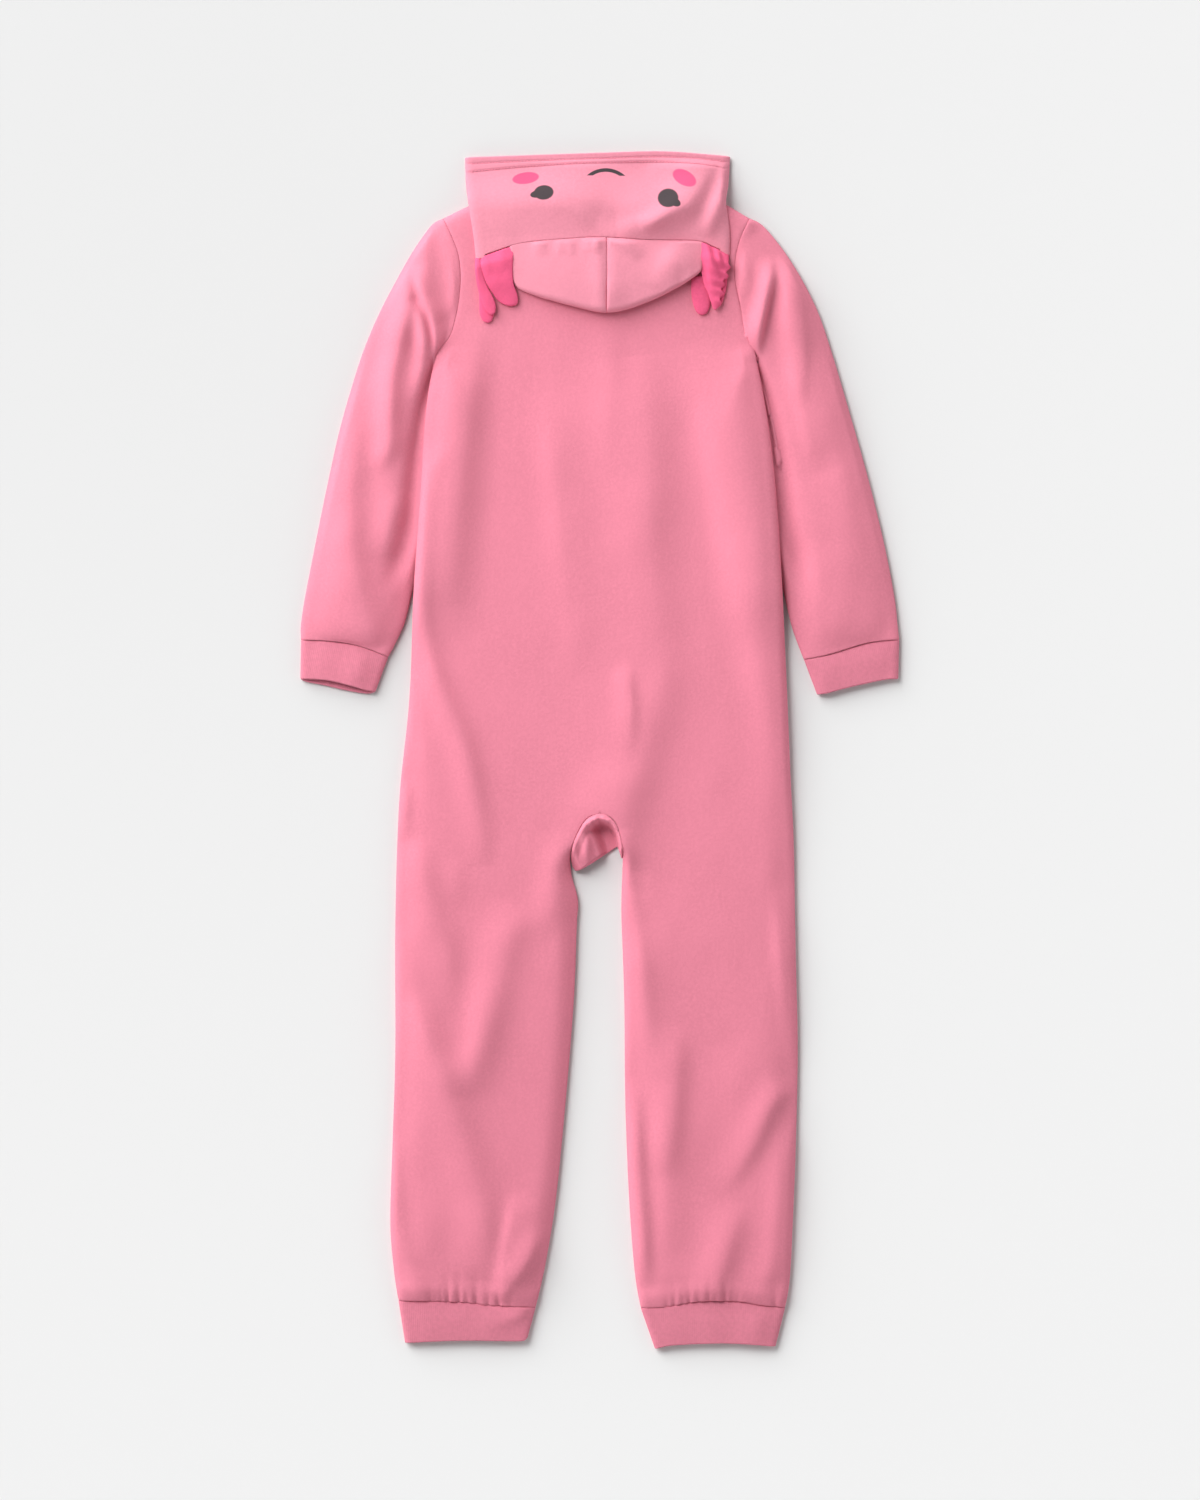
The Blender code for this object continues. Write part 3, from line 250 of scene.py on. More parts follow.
def wall(grid, normal, thickness, edge, wrap=False, keep=None, joined=None):
    # closed wall: outer face, inner face one thickness further in, and a rim. The wall thins to nothing where
    # edge is 0, which rounds its rim off. It has no rim between joined points, where another wall goes on
    rows, columns = grid.shape[:2]
    middle = grid - normal * (thickness / 2)
    reach = normal * (thickness / 2) * edge[:, :, None]
    outer, inner = middle + reach, middle - reach
    index = np.arange(rows * columns).reshape(rows, columns)
    innerIndex = np.where(edge < 1e-6, index, index + rows * columns)
    right = np.roll(index, -1, axis=1) if wrap else index[:, 1:]
    left = index if wrap else index[:, :-1]
    quads = np.stack([left[:-1], right[:-1], right[1:], left[1:]], axis=2)
    quads = quads.reshape(-1, 4) if keep is None else quads[keep]
    toInner = innerIndex.ravel()
    ring = np.vstack([quads[:, [k, (k + 1) % 4]] for k in range(4)])
    ordered = np.sort(ring, axis=1)
    _, first, uses = np.unique(ordered, axis=0, return_index=True, return_counts=True)
    rim = ring[first[uses == 1]]
    rim = rim[(toInner[rim] != rim).any(axis=1)]
    if joined is not None:
        rim = rim[~joined.ravel()[rim].all(axis=1)]
    faces = [quads, toInner[quads[:, ::-1]], np.column_stack([rim[:, ::-1], toInner[rim]])]
    points = np.vstack([outer.reshape(-1, 3), inner.reshape(-1, 3)])
    a, b, c = (points[quads[:, k]] for k in range(3))
    facing = (np.cross(b - a, c - a) * normal.reshape(-1, 3)[quads[:, 0]]).sum()
    return points, [f[:, ::-1] if facing < 0 else f for f in faces]


def addObject(name, data):
    made = bpy.data.objects.new(name, data)
    bpy.context.scene.collection.objects.link(made)
    return made


def makeMesh(name, walls, finishes, finishOf=None):
    # one object from the points and faces of one or more walls, with points that coincide merged and faces
    # turned outward, which they are when the sum of a x b . c over the triangles is positive;
    # finishOf(points, faces) may give each face its finish's number
    points, faces, start = [], [], 0
    for wallPoints, wallFaces in walls:
        points.append(wallPoints)
        faces += [f + start for f in wallFaces]
        start += len(wallPoints)
    points, faces = np.vstack(points), np.vstack(faces)
    points[:, 2] = np.maximum(points[:, 2], 0)
    a, b, c, d = (points[faces[:, k]] for k in range(4))
    if (np.cross(a, b) * c + np.cross(a, c) * d).sum() < 0:
        faces = faces[:, ::-1]
    mesh = bpy.data.meshes.new(name)
    mesh.from_pydata(points * mm, [], faces.tolist())
    for finish in finishes:
        mesh.materials.append(finish)
    if finishOf:
        mesh.polygons.foreach_set("material_index", finishOf(points, faces).astype(np.int32))
    merged = bmesh.new()
    merged.from_mesh(mesh)
    bmesh.ops.remove_doubles(merged, verts=merged.verts, dist=0.004 * mm)
    merged.to_mesh(mesh)
    merged.free()
    mesh.shade_smooth()
    return addObject(name, mesh)


def loopFaces(rows, columns):
    # quads between the rows of a grid whose columns close on themselves
    index = np.arange(rows * columns).reshape(rows, columns)
    turned = np.roll(index, -1, axis=1)
    return np.stack([index[:-1], index[1:], turned[1:], turned[:-1]], axis=2).reshape(-1, 4)


wireSides = 5


def wire(line, radius, aside):
    # rings of points round a line, or round each of many lines; a ring's first axis is square to the line and
    # to the direction given
    along = unit(np.gradient(line, axis=-2))
    side = unit(np.cross(along, aside))
    other = np.cross(side, along)
    around = np.linspace(0, 2 * math.pi, wireSides, endpoint=False)[:, None]
    ring = side[..., None, :] * np.cos(around) + other[..., None, :] * np.sin(around)
    return line[..., None, :] + radius * ring


def place(piece, slotName, *nodes, body="garment"):
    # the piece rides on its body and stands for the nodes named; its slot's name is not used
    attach(piece, body)
    if nodes:
        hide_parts(*nodes)
    return piece


# finishes
def nodeAdder(tree):
    # gives a function that adds a node to the tree and returns one of its outputs. Inputs, by name or number,
    # are sockets or values, and a colour leaves out its alpha
    def add(kind, inputs, output=0, **settings):
        node = tree.nodes.new("ShaderNode" + kind)
        for key, value in settings.items():
            setattr(node, key, value)
        for key, value in inputs.items():
            socket = node.inputs[key]
            if isinstance(value, bpy.types.NodeSocket):
                tree.links.new(value, socket)
            else:
                socket.default_value = (*value, 1) if socket.type == "RGBA" else value
        return node.outputs[output]
    return add


def shaderFor(name, roughness, sheen=0.0, sheenTint=(1, 1, 1), metallic=0.0, specular=0.25):
    made = bpy.data.materials.new(name)
    made.use_nodes = True
    shader = made.node_tree.nodes["Principled BSDF"]
    shader.inputs["Roughness"].default_value = roughness
    shader.inputs["Metallic"].default_value = metallic
    shader.inputs["Specular IOR Level"].default_value = specular
    shader.inputs["Sheen Weight"].default_value = sheen
    shader.inputs["Sheen Roughness"].default_value = 0.5
    shader.inputs["Sheen Tint"].default_value = (*sheenTint, 1)
    return made, nodeAdder(made.node_tree)


def dress(made, colour, normal=None):
    # the colour and the bumps go to the shader
    shader = made.node_tree.nodes["Principled BSDF"]
    made.node_tree.links.new(colour, shader.inputs["Base Color"])
    if normal:
        made.node_tree.links.new(normal, shader.inputs["Normal"])
    return made


def noise(add, where, scale, detail=2.0):
    return add("TexNoise", {"Scale": scale, "Detail": detail, "Vector": where}, "Fac")


def mix(add, amount, low, high):
    return add("Mix", {0: amount, 6: low, 7: high}, 2, data_type="RGBA")


def spread(add, value, low, high):
    # a value's range from low to high made 0 to 1
    return add("MapRange", {"From Min": low, "From Max": high, "Value": value}, "Result")


def maths(add, operation, *values):
    return add("Math", dict(enumerate(values)), operation=operation)


def bump(add, height, strength, distance, below=None):
    # a bump of that distance in millimetres, on top of another bump if one is given
    under = {"Normal": below} if below else {}
    return add("Bump", {"Strength": strength, "Distance": distance * mm, "Height": height, **under}, "Normal")


fleece = {
    "roughness": 0.95,
    "sheen": 0.06,
    "sheenTint": (1.0, 0.6, 0.7),
    "specular": 0.05,
    "clumps": 420,           # how many to the metre, as for the three below
    "marks": 16,
    "streaks": 330,
    "nap": 900,
    "streakLength": 0.22,    # their scale along the garment
    "deep": 0.945,           # share of the colour in the deep places
}


def fleeceFinish(name, colour, printed=()):
    # brushed fleece: a clumped nap in bump and colour, upright brush streaks, broad marks and a soft sheen
    made, add = shaderFor(name, fleece["roughness"], fleece["sheen"], fleece["sheenTint"],
                          specular=fleece["specular"])
    where = add("TexCoord", {}, "Object")
    clumps = spread(add, noise(add, where, fleece["clumps"], 3), 0.35, 0.65)
    broad = spread(add, noise(add, where, fleece["marks"]), 0.3, 0.7)
    deep = tuple(c * fleece["deep"] for c in colour)
    pale = tuple(min(1.0, c * 1.03 + 0.004) for c in colour)
    brushed = add("Mapping", {"Scale": (1.0, fleece["streakLength"], 1.0), "Vector": where}, "Vector")
    streaks = spread(add, noise(add, brushed, fleece["streaks"], 2), 0.3, 0.7)
    base = mix(add, clumps, deep, pale)
    base = mix(add, streaks, mix(add, 0.5, base, deep), base)
    base = mix(add, broad, base, mix(add, 0.5, base, pale))
    for pattern, ink in printed:
        base = mix(add, pattern(add, where), base, ink)
    nap = bump(add, noise(add, where, fleece["nap"], 4), 0.3, 0.25)
    return dress(made, base, bump(add, clumps, 0.2, 0.35, nap))


def placed(add, where, x, y, turnDegrees, width, height):
    # coordinates about x and y, turned, in units of the width and height
    return add("Mapping", {"Location": (x * mm, y * mm, 0), "Rotation": (0, 0, math.radians(turnDegrees)),
                           "Scale": (width * mm, height * mm, 1000.0), "Vector": where},
               "Vector", vector_type="TEXTURE")


def printedSpot(x, y, halfWidth, halfHeight, turnDegrees=0.0, soft=0.06):
    # an ellipse printed on the cloth, as a mask on Object coordinates seen from above
    def pattern(add, where):
        put = placed(add, where, x, y, turnDegrees, halfWidth, halfHeight)
        return spread(add, add("VectorMath", {0: put}, "Value", operation="LENGTH"), 1 + soft, 1 - soft)
    return pattern


def printedArc(x, y, radius, halfStroke, fromDegrees, toDegrees):
    # part of a ring: near the radius, and within the arc's angles
    middle, half = (fromDegrees + toDegrees) / 2, math.radians(abs(toDegrees - fromDegrees) / 2)

    def pattern(add, where):
        put = placed(add, where, x, y, middle, 1, 1)
        along, aside = (add("SeparateXYZ", {"Vector": put}, axis) for axis in "XY")
        flat = add("CombineXYZ", {"X": along, "Y": aside}, "Vector")
        length = add("VectorMath", {0: flat}, "Value", operation="LENGTH")
        off = maths(add, "ABSOLUTE", maths(add, "SUBTRACT", length, radius))
        near = spread(add, off, halfStroke + 0.12, halfStroke - 0.12)
        end = radius * math.cos(half)
        return maths(add, "MULTIPLY", near, spread(add, along, end - 0.3, end + 0.3))
    return pattern


rib = {"roughness": 0.85, "sheen": 0.25, "sheenTint": (1.0, 0.7, 0.76), "pitch": 1.6}


def ribFinish(name, colour):
    # fine rib knit: ridges along the cuff from the piece's own UV map, with a little unevenness. The scale of
    # a wave texture is 0.31 over the ridges' distance
    made, add = shaderFor(name, rib["roughness"], rib["sheen"], rib["sheenTint"])
    where = add("TexCoord", {}, "Object")
    mottled = spread(add, noise(add, where, 300, 3), 0.35, 0.65)
    base = mix(add, mottled, tuple(c * 0.95 for c in colour), tuple(c * 1.03 for c in colour))
    wave = add("TexWave", {"Scale": 0.31 / mm / rib["pitch"], "Distortion": 0.4,
                           "Vector": add("TexCoord", {}, "UV")},
               "Fac", wave_profile="SIN", bands_direction="X")
    ridges = bump(add, wave, 0.3, 0.3)
    return dress(made, base, bump(add, noise(add, where, 1100, 3), 0.25, 0.4, ridges))


def plainFinish(name, colour, roughness, metallic=0.0, grain=600, depth=0.15):
    made, add = shaderFor(name, roughness, metallic=metallic, specular=0.5)
    marks = spread(add, noise(add, add("TexCoord", {}, "Object"), grain, 3), 0.3, 0.7)
    base = mix(add, marks, tuple(c * 0.92 for c in colour), colour)
    return dress(made, base, bump(add, marks, depth, 0.2))


face = {
    "ink": (0.062, 0.050, 0.054),
    "cheekInk": (0.78, 0.092, 0.20),
    "eyes": ((-48.8, 483.8, 8.5, 6.6, 4), (59.0, 478.6, 8.9, 8.6, -12)),
    "lashes": ((-54.6, 482.5, 6.0, 3.3, 12), (64.0, 475.2, 6.4, 3.8, -33)),
    "cheeks": ((-64.6, 497.1, 11.6, 5.3, 8), (73.3, 496.6, 11.2, 6.6, -32)),
    "mouth": (5.3, 481.6, 22.6, 1.6, 129, 51),
}
faceInks = [(printedSpot(*spot), face["cheekInk"]) for spot in face["cheeks"]]
faceInks += [(printedSpot(*spot), face["ink"]) for spot in face["eyes"] + face["lashes"]]
faceInks += [(printedArc(*face["mouth"]), face["ink"])]
colours = {
    "fleece": (0.70, 0.215, 0.294),
    "hood": (0.69, 0.242, 0.318),
    # partly the rib knit's own colour, partly painted shade: made a little darker for the cuffs, which lie
    # where the light is weaker
    "rib": (0.64, 0.188, 0.262),
    "gill": (0.74, 0.103, 0.218),
}
finish = {
    "fleece": fleeceFinish("pink fleece", colours["fleece"]),
    "hood": fleeceFinish("hood fleece", colours["hood"]),
    "hoodPrinted": fleeceFinish("printed hood fleece", colours["hood"], faceInks),
    "rib": ribFinish("rib knit", colours["rib"]),
    "gill": fleeceFinish("deep pink fleece", colours["gill"]),
    "thread": plainFinish("sewing thread", (0.85, 0.27, 0.38), 0.6),
    "tape": plainFinish("zip tape", (0.72, 0.22, 0.31), 0.85, grain=900, depth=0.4),
    "coil": plainFinish("zip coil", (0.78, 0.26, 0.36), 0.4),
    "metal": plainFinish("nickel plate", (0.80, 0.80, 0.79), 0.25, 1.0, 300, 0.05),
}
print("finishes made")

# the body. A fold's row is its half width, its far width, and points of x, y and height
bodyFolds = (
    # from the left shoulder blade down to the waist, beside the sleeve underneath
    (8, 24, ((-97, 378, 0), (-101, 335, 1.6), (-105, 300, 2.6), (-110, 255, 2.2), (-114, 215, 2.0),
             (-118, 170, 1.6), (-121, 125, 0))),
    # along the left side, then across the hip
    (5.5, 14, ((-129, 262, 0), (-141, 238, 1.8), (-146, 190, 2.4), (-148.5, 140, 2.8), (-147, 105, 2.8),
               (-139, 74, 3.0), (-125, 40, 3.0), (-112, 8, 2.6), (-103, -28, 2.2), (-97, -65, 1.4),
               (-94, -100, 0))),
    # middle of the back
    (8, 26, ((-52, 312, 0), (-50, 260, -1.6), (-44, 215, -1.6), (-38, 150, -1.2), (-31, 105, -0.8),
             (-26, 60, 0))),
    (5, 16, ((12, 378, 0), (16, 330, 0.7), (13, 280, 0.4), (12, 240, 0))),
    (13, 40, ((48, 345, 0), (55, 290, 2.4), (55, 240, 3.0), (57, 180, 2.6), (61, 120, 1.6), (66, 72, 1.8),
              (60, 20, 2.4), (46, -18, 2.8), (35, -60, 2.6), (31, -120, 0))),
    (10, 28, ((72, 350, 0), (86, 290, -2.0), (98, 220, -2.2), (110, 160, -1.8), (120, 105, -1.4),
              (133, 55, -2.2), (142, 10, -2.0), (149, -60, -0.6), (151, -110, 0))),
    (13, 22, ((127, 300, 0), (134, 230, -1.2), (140, 160, -1.5), (146, 90, -1.4), (150, 30, -1.0),
              (153, -60, -0.8), (154, -140, 0))),
    (3.5, 10, ((24, 76, 0), (28, 60, 1.5), (31, 38, 1.2), (30, 10, 0.5), (29, -10, 0))),
    # left hip
    (5, 16, ((-150, 70, 0), (-151, 35, 0.9), (-150, 0, 0.6), (-149, -25, 0))),
    (3, 8, ((-164, -25, 0), (-165, -50, 0.9), (-165, -80, 0))),
    (7, 20, ((-152, -75, 0), (-147, -105, 1.8), (-138, -135, 2.0), (-127, -162, 1.8), (-123, -200, 1.0),
             (-122, -235, 0))),
    (5, 14, ((-121, -92, 0), (-119, -115, 0.6), (-118, -140, 0))),
    # beside the arch
    (6, 14, ((-27, -70, 0), (-29, -100, 1.4), (-32, -125, 1.6), (-36, -145, 1.0), (-40, -165, 0))),
    (5, 12, ((25, -68, 0), (29, -95, 2.2), (34, -135, 2.0), (40, -175, 1.5), (46, -230, 0.9), (49, -265, 0))),
    # left leg
    (8, 22, ((-167, -150, 0), (-161, -190, 1.6), (-152, -222, 2.0), (-136, -255, 2.4), (-121, -298, 2.6),
             (-108, -340, 2.6), (-96, -382, 2.4), (-91, -415, 2.6), (-91, -442, 1.6), (-93, -462, 0))),
    (6, 20, ((-172, -215, 0), (-161, -240, -0.9), (-143, -285, -0.9), (-128, -330, 0))),
    (9, 20, ((-60, -138, 0), (-69, -165, 1.8), (-79, -205, 2.2), (-90, -248, 2.2), (-98, -280, 1.8),
             (-108, -308, 0))),
    (7, 20, ((-108, -195, 0), (-111, -235, -1.0), (-116, -275, -0.8), (-118, -300, 0))),
    (4, 16, ((-78, -385, 0), (-81, -410, -1.6), (-87, -440, -1.4), (-89, -468, -0.8), (-90, -480, 0))),
    (4, 14, ((-44, -415, 0), (-53, -436, 1.8), (-66, -456, 1.8), (-78, -472, 1.0), (-84, -482, 0))),
    (5, 12, ((-173, -335, 0), (-172, -375, 1.4), (-170, -410, 1.6), (-163, -440, 1.3), (-152, -466, 0.8),
             (-145, -478, 0))),
    (8, 20, ((-132, -370, 0), (-137, -410, 0.5), (-146, -440, 0.4), (-150, -452, 0))),
    # right leg
    (4, 10, ((34, -285, 0), (36, -325, 2.0), (38, -370, 2.4), (41, -410, 2.4), (43, -440, 2.0),
             (46, -468, 0))),
    (6, 16, ((46, -290, 0), (50, -340, -0.9), (53, -400, -0.9), (55, -440, 0))),
    (6, 18, ((72, -240, 0), (73, -275, 1.8), (71, -315, 2.0), (67, -348, 1.4), (62, -372, 0))),
    (14, 30, ((40, -150, 0), (48, -190, 1.6), (55, -240, 1.4), (60, -290, 0))),
    (10, 24, ((98, -255, 0), (105, -290, -1.0), (112, -330, -0.8), (115, -360, 0))),
    (4.5, 14, ((169, -296, 0), (158, -306, 2.0), (149, -322, 2.2), (138, -346, 1.6), (124, -368, 1.0),
               (108, -388, 0))),
    (7, 20, ((162, -318, 0), (153, -350, -1.8), (149, -395, -2.2), (146, -435, -2.0), (137, -465, -1.0),
             (130, -480, 0))),
    (6, 18, ((128, -395, 0), (119, -428, 1.8), (112, -455, 2.0), (107, -474, 1.2), (105, -484, 0))),
    (4.5, 14, ((149, -120, 0), (152, -165, -1.6), (156, -215, -1.4), (160, -255, -0.6), (161, -280, 0))),
)
# gathers above the leg cuffs: x, how far up the leg the pucker runs, and its depth
gathers = (
    (-147.4, 9.0, 1.2), (-142.7, 8.0, 1.0), (-137.9, 10.0, 1.4), (-132.6, 15.0, 2.0), (-123.1, 16.0, 1.9),
    (-115.7, 9.0, 1.3), (-108.4, 14.0, 2.0), (-105.3, 8.0, 1.0), (-97.4, 9.0, 1.3), (-88.4, 11.0, 1.4),
    (-78.0, 7.0, 0.8), (58.3, 8.0, 1.0), (64.4, 10.0, 1.4), (72.2, 9.0, 1.2), (77.4, 11.0, 1.6),
    (85.3, 8.0, 1.1), (94.8, 12.0, 1.5), (100.1, 9.0, 1.2), (108.4, 16.0, 2.1), (114.8, 9.0, 1.2),
    (119.2, 8.0, 1.0), (152.3, 10.0, 1.3),
)


def bodyLift(x, y, reach):
    # the body's sides are raised by the sleeves tucked under them, and come down slowly towards the middle
    x, y = np.broadcast_arrays(np.asarray(x, float), np.asarray(y, float))
    inward = np.minimum(x - sideX[-1](y), sideX[1](y) - x)
    past = np.maximum(inward - reach[0], 0)
    start, full, ebb, end = suit["liftLevels"]
    along = smooth(y, start + 0.4 * past, full) * (1 - smooth(y, ebb - 1.8 * past, end))
    return suit["tuckLift"] * along * (1 - smooth(inward, *reach))


def zipRaise(x, y):
    reachX, reachY = suit["sliderReach"]
    return suit["sliderRaise"] * np.exp(-(x / reachX) ** 2 - ((y - suit["sliderAt"]) / reachY) ** 2)


gatherShape = {
    "width": 1.5,            # of a trough at the hem, and how much wider it gets up the leg
    "widening": 0.12,
    "strength": 1.25,
    "swell": 1.8,            # of the cloth above the hem, and how far up
    "swellUp": 9.0,
}


def puckers(x, y):
    # narrow troughs that fan out and fade up the leg from its gathered hem, and a low swell above it
    up = np.where(x < 0, y - hemY[-1](x), y - hemY[1](x))
    total = np.zeros(x.shape)
    for at, reach, depth in gathers:
        spreadOut = gatherShape["width"] + gatherShape["widening"] * np.clip(up, 0, 40)
        total -= depth * np.exp(-((x - at) / spreadOut) ** 2 - np.clip(up, 0, None) / reach)
    swell = gatherShape["swell"] * np.exp(-((up - gatherShape["swellUp"]) / gatherShape["swellUp"]) ** 2)
    return gatherShape["strength"] * total + swell


def bodyTop(x, y):
    # height of the back's upper face away from its rolled edges: two layers, the sleeve's lift, a loft that
    # grows away from the edges, the folds, and a slow unevenness
    edge = np.minimum(x - sideX[-1](y), sideX[1](y) - x) + suit["past"] * smooth(y, 330, 372)
    leg = np.where(x < 0, 1.8 * (insideX[-1](y) - x), x - insideX[1](y))
    leg = leg + suit["past"] * smooth(y, -110, suit["archTop"])
    reach = np.minimum(np.minimum(edge, leg), backTopY(np.abs(x)) - y + 14)
    loft = suit["loft"] * (1 - np.exp(-2 * (np.maximum(reach, 0) / suit["loftReach"]) ** 2))
    loft = loft * (suit["hemLoft"] + (1 - suit["hemLoft"]) * smooth(y, -484, -455))
    away = smooth(reach, 4, 30) * (1 - smooth(y, 360, 400))
    slow = away * (0.55 * uneven(x, y, 52, 3) + 0.22 * uneven(x, y * 0.6, 19, 4))
    puff = loft + suit["foldStrength"] * folds(bodyFolds, x, y) + 0.9 * zipRaise(x, y) + slow
    atHem = 1 - smooth(y, -470, -440)
    puff = puff + np.where(atHem > 0, atHem * puckers(x, y), 0)
    return suit["flatTop"] + bodyLift(x, y, suit["liftReach"]) + np.maximum(puff, 0)


rollAngles = np.linspace(0, math.pi / 2, 8)
shoulderLevels = suit["shoulderTip"] - suit["roll"] * (1 - np.cos(rollAngles[:-1]))


def acrossRows(width, firstRoll, lastRoll, middle):
    # distances across rows of those widths, close together where the edges roll; the roll's angle at each
    # column; and which edge the column rolls at, 1 for the first, -1 for the last, 0 for none
    curl = 1 - np.cos(rollAngles)
    share = np.linspace(0, 1, middle + 2)[1:-1]
    between = firstRoll + (width - firstRoll - lastRoll) * share
    distance = np.hstack([firstRoll * curl, between, width - lastRoll * curl[::-1]])
    angle = np.concatenate([rollAngles, np.full(middle, math.pi / 2), rollAngles[::-1]])
    near = np.repeat((1.0, 0.0, -1.0), (rollAngles.size, middle, rollAngles.size))
    return distance, angle[None], near[None]


def panel(levels, sign, middle, innerX, innerRoll, upper):
    # half a body panel: levels run down the body and columns from its side to its inner edge. The rows bend
    # with the neck and shoulders at the top and with the hem at the bottom, and roll down at their edges
    level = levels[:, None]
    atSide = sideX[sign](level)
    width = np.abs(atSide - innerX[:, None])
    distance, angle, near = acrossRows(width, np.full(level.shape, suit["roll"]), innerRoll[:, None], middle)
    x = atSide - sign * distance
    topEdge = backTopY if upper else frontTopY
    top = topEdge(np.abs(x)) - suit["shoulderTip"]
    top = top - (topEdge(np.abs(atSide)) - suit["shoulderTip"]) * (1 - smooth(np.abs(x - atSide), 0, 30))
    y = level + top * (1 - smooth(suit["shoulderTip"] - level, 0, suit["topReach"]))
    y = y + (hemY[sign](x) - suit["legEnd"]) * smooth(-level, 400, -suit["legEnd"])
    rolledSide = 1 - smooth(level, suit["underarm"] - 9, suit["underarm"] + 1)
    rolledLeg = smooth(-level, *suit["legRoll"])
    rolled = np.where(near > 0, rolledSide, np.where(near < 0, rolledLeg, 0.0))
    turn = np.maximum(rolled * (1 - np.sin(angle)), 1 - softEdge(suit["shoulderTip"] - level, suit["roll"]))
    lift = bodyLift(x, y, suit["liftReach" if upper else "frontLiftReach"])
    if upper:
        seam = lift + suit["seamHeight"] + suit["seamGap"] / 2
        full = bodyTop(x, y)
        z = full - turn * (full - seam)
    else:
        z = lift + zipRaise(x, y) + turn * (suit["seamHeight"] - suit["seamGap"] / 2)
    return np.stack([x, y, z], axis=2)


def levelsBetween(*stops):
    # levels from the first stop down, each stop given as a level and the spacing below it
    runs = [np.linspace(a, b, max(2, round((a - b) / step) + 1))[:-1]
            for (a, step), (b, _) in zip(stops[:-1], stops[1:])]
    return np.concatenate(runs + [[stops[-1][0]]])


dips = {                     # seams sink into the cloth: depth and width
    "armhole": (0.45, 1.6),
    "legHem": (0.3, 1.3),
    "arch": (0.12, 1.6),
    "sleeveTop": (0.35, 1.4),
    "sleeveEnd": (0.2, 1.2),
    "cuff": (0.3, 1.3),
    "hoodMiddle": (0.45, 1.3),
}


def seamDip(distance, seam):
    depth, width = dips[seam]
    return depth * np.exp(-(distance / width) ** 2)


def makeBack():
    torso = levelsBetween((suit["shoulderTip"] - suit["roll"], 2.5), (suit["underarm"] + 10, 1.0),
                          (suit["underarm"] - 2, 3), (320, 5), (-30, 3), (suit["archTop"], 0))
    legs = levelsBetween((suit["archTop"], 1.2), (-64, 2.2), (-130, 5), (-400, 4), (-440, 2), (-474, 0.8),
                         (suit["legEnd"], 0))
    levels = np.concatenate([shoulderLevels, torso, legs[1:]])
    isLeg = levels < suit["archTop"]
    grids, normals = {}, {}
    for sign in (-1, 1):
        innerX = np.where(isLeg, insideX[sign](levels), 0.0)
        spreadIn = suit["roll"] + (suit["middleRoll"] - suit["roll"]) * smooth(levels, suit["archTop"], 40)
        grid = panel(levels, sign, 66, innerX, spreadIn, True)
        fromSide, fromTop = arcFrom(grid, 1), arcFrom(grid, 0)
        fromInner, fromHem = arcFrom(grid, 1, True), arcFrom(grid, 0, True)
        fromInner[~isLeg] = 99
        atArmhole = smooth(levels, 335, 345)[:, None]
        atArch = (smooth(-levels, 50, 56) * (1 - smooth(-levels, 84, 100)))[:, None]
        grid[:, :, 2] -= seamDip(fromSide, "armhole") * atArmhole
        grid[:, :, 2] -= seamDip(fromHem, "legHem") + seamDip(fromInner, "arch") * atArch
        grids[sign] = grid
        normals[sign] = normalsOf(grid, False, (0, 0, 1))
        nearest = np.minimum(np.minimum(fromSide, fromTop), np.minimum(fromInner, fromHem))
        grids[sign, "edge"] = seamEdge(nearest)
    middle = np.zeros(grid.shape[:2], bool)
    middle[~isLeg, -1] = True
    shared = unit(normals[-1][~isLeg, -1] + normals[1][~isLeg, -1])
    for sign in (-1, 1):
        normals[sign][~isLeg, -1] = shared
    walls = [wall(grids[s], normals[s], suit["fleeceWall"], grids[s, "edge"], joined=middle) for s in (-1, 1)]
    return place(makeMesh("backPanel", walls, [finish["fleece"]]), "fleece", "back")


def makeFront(name, node, sign):
    levels = levelsBetween((suit["shoulderTip"] - suit["roll"], 4), (350, 6), (suit["zipEnd"] + 0.2, 0.2),
                           (suit["zipEnd"], 4), (suit["archTop"], 1.5), (-64, 3), (-130, 8), (-460, 3),
                           (-478, 0.6), (suit["legEnd"], 0))
    levels = np.concatenate([shoulderLevels, levels])
    isLeg = levels < suit["archTop"]
    atZip = np.where(levels >= suit["zipEnd"], suit["zipHalfGap"], suit["seamGap"] / 2)
    innerX = np.where(isLeg, insideX[sign](levels), sign * atZip)
    grid = panel(levels, sign, 26, innerX, np.where(isLeg, suit["roll"], 15.0), False)
    edge = seamEdge(fromEdges(grid))
    points = wall(grid, normalsOf(grid, False, (0, 0, -1)), suit["fleeceWall"], edge)
    return place(makeMesh(name, [points], [finish["fleece"]]), "fleece", node)


makeBack()
makeFront("frontPanelLeft", "front_left", -1)
makeFront("frontPanelRight", "front_right", 1)
print("body made")

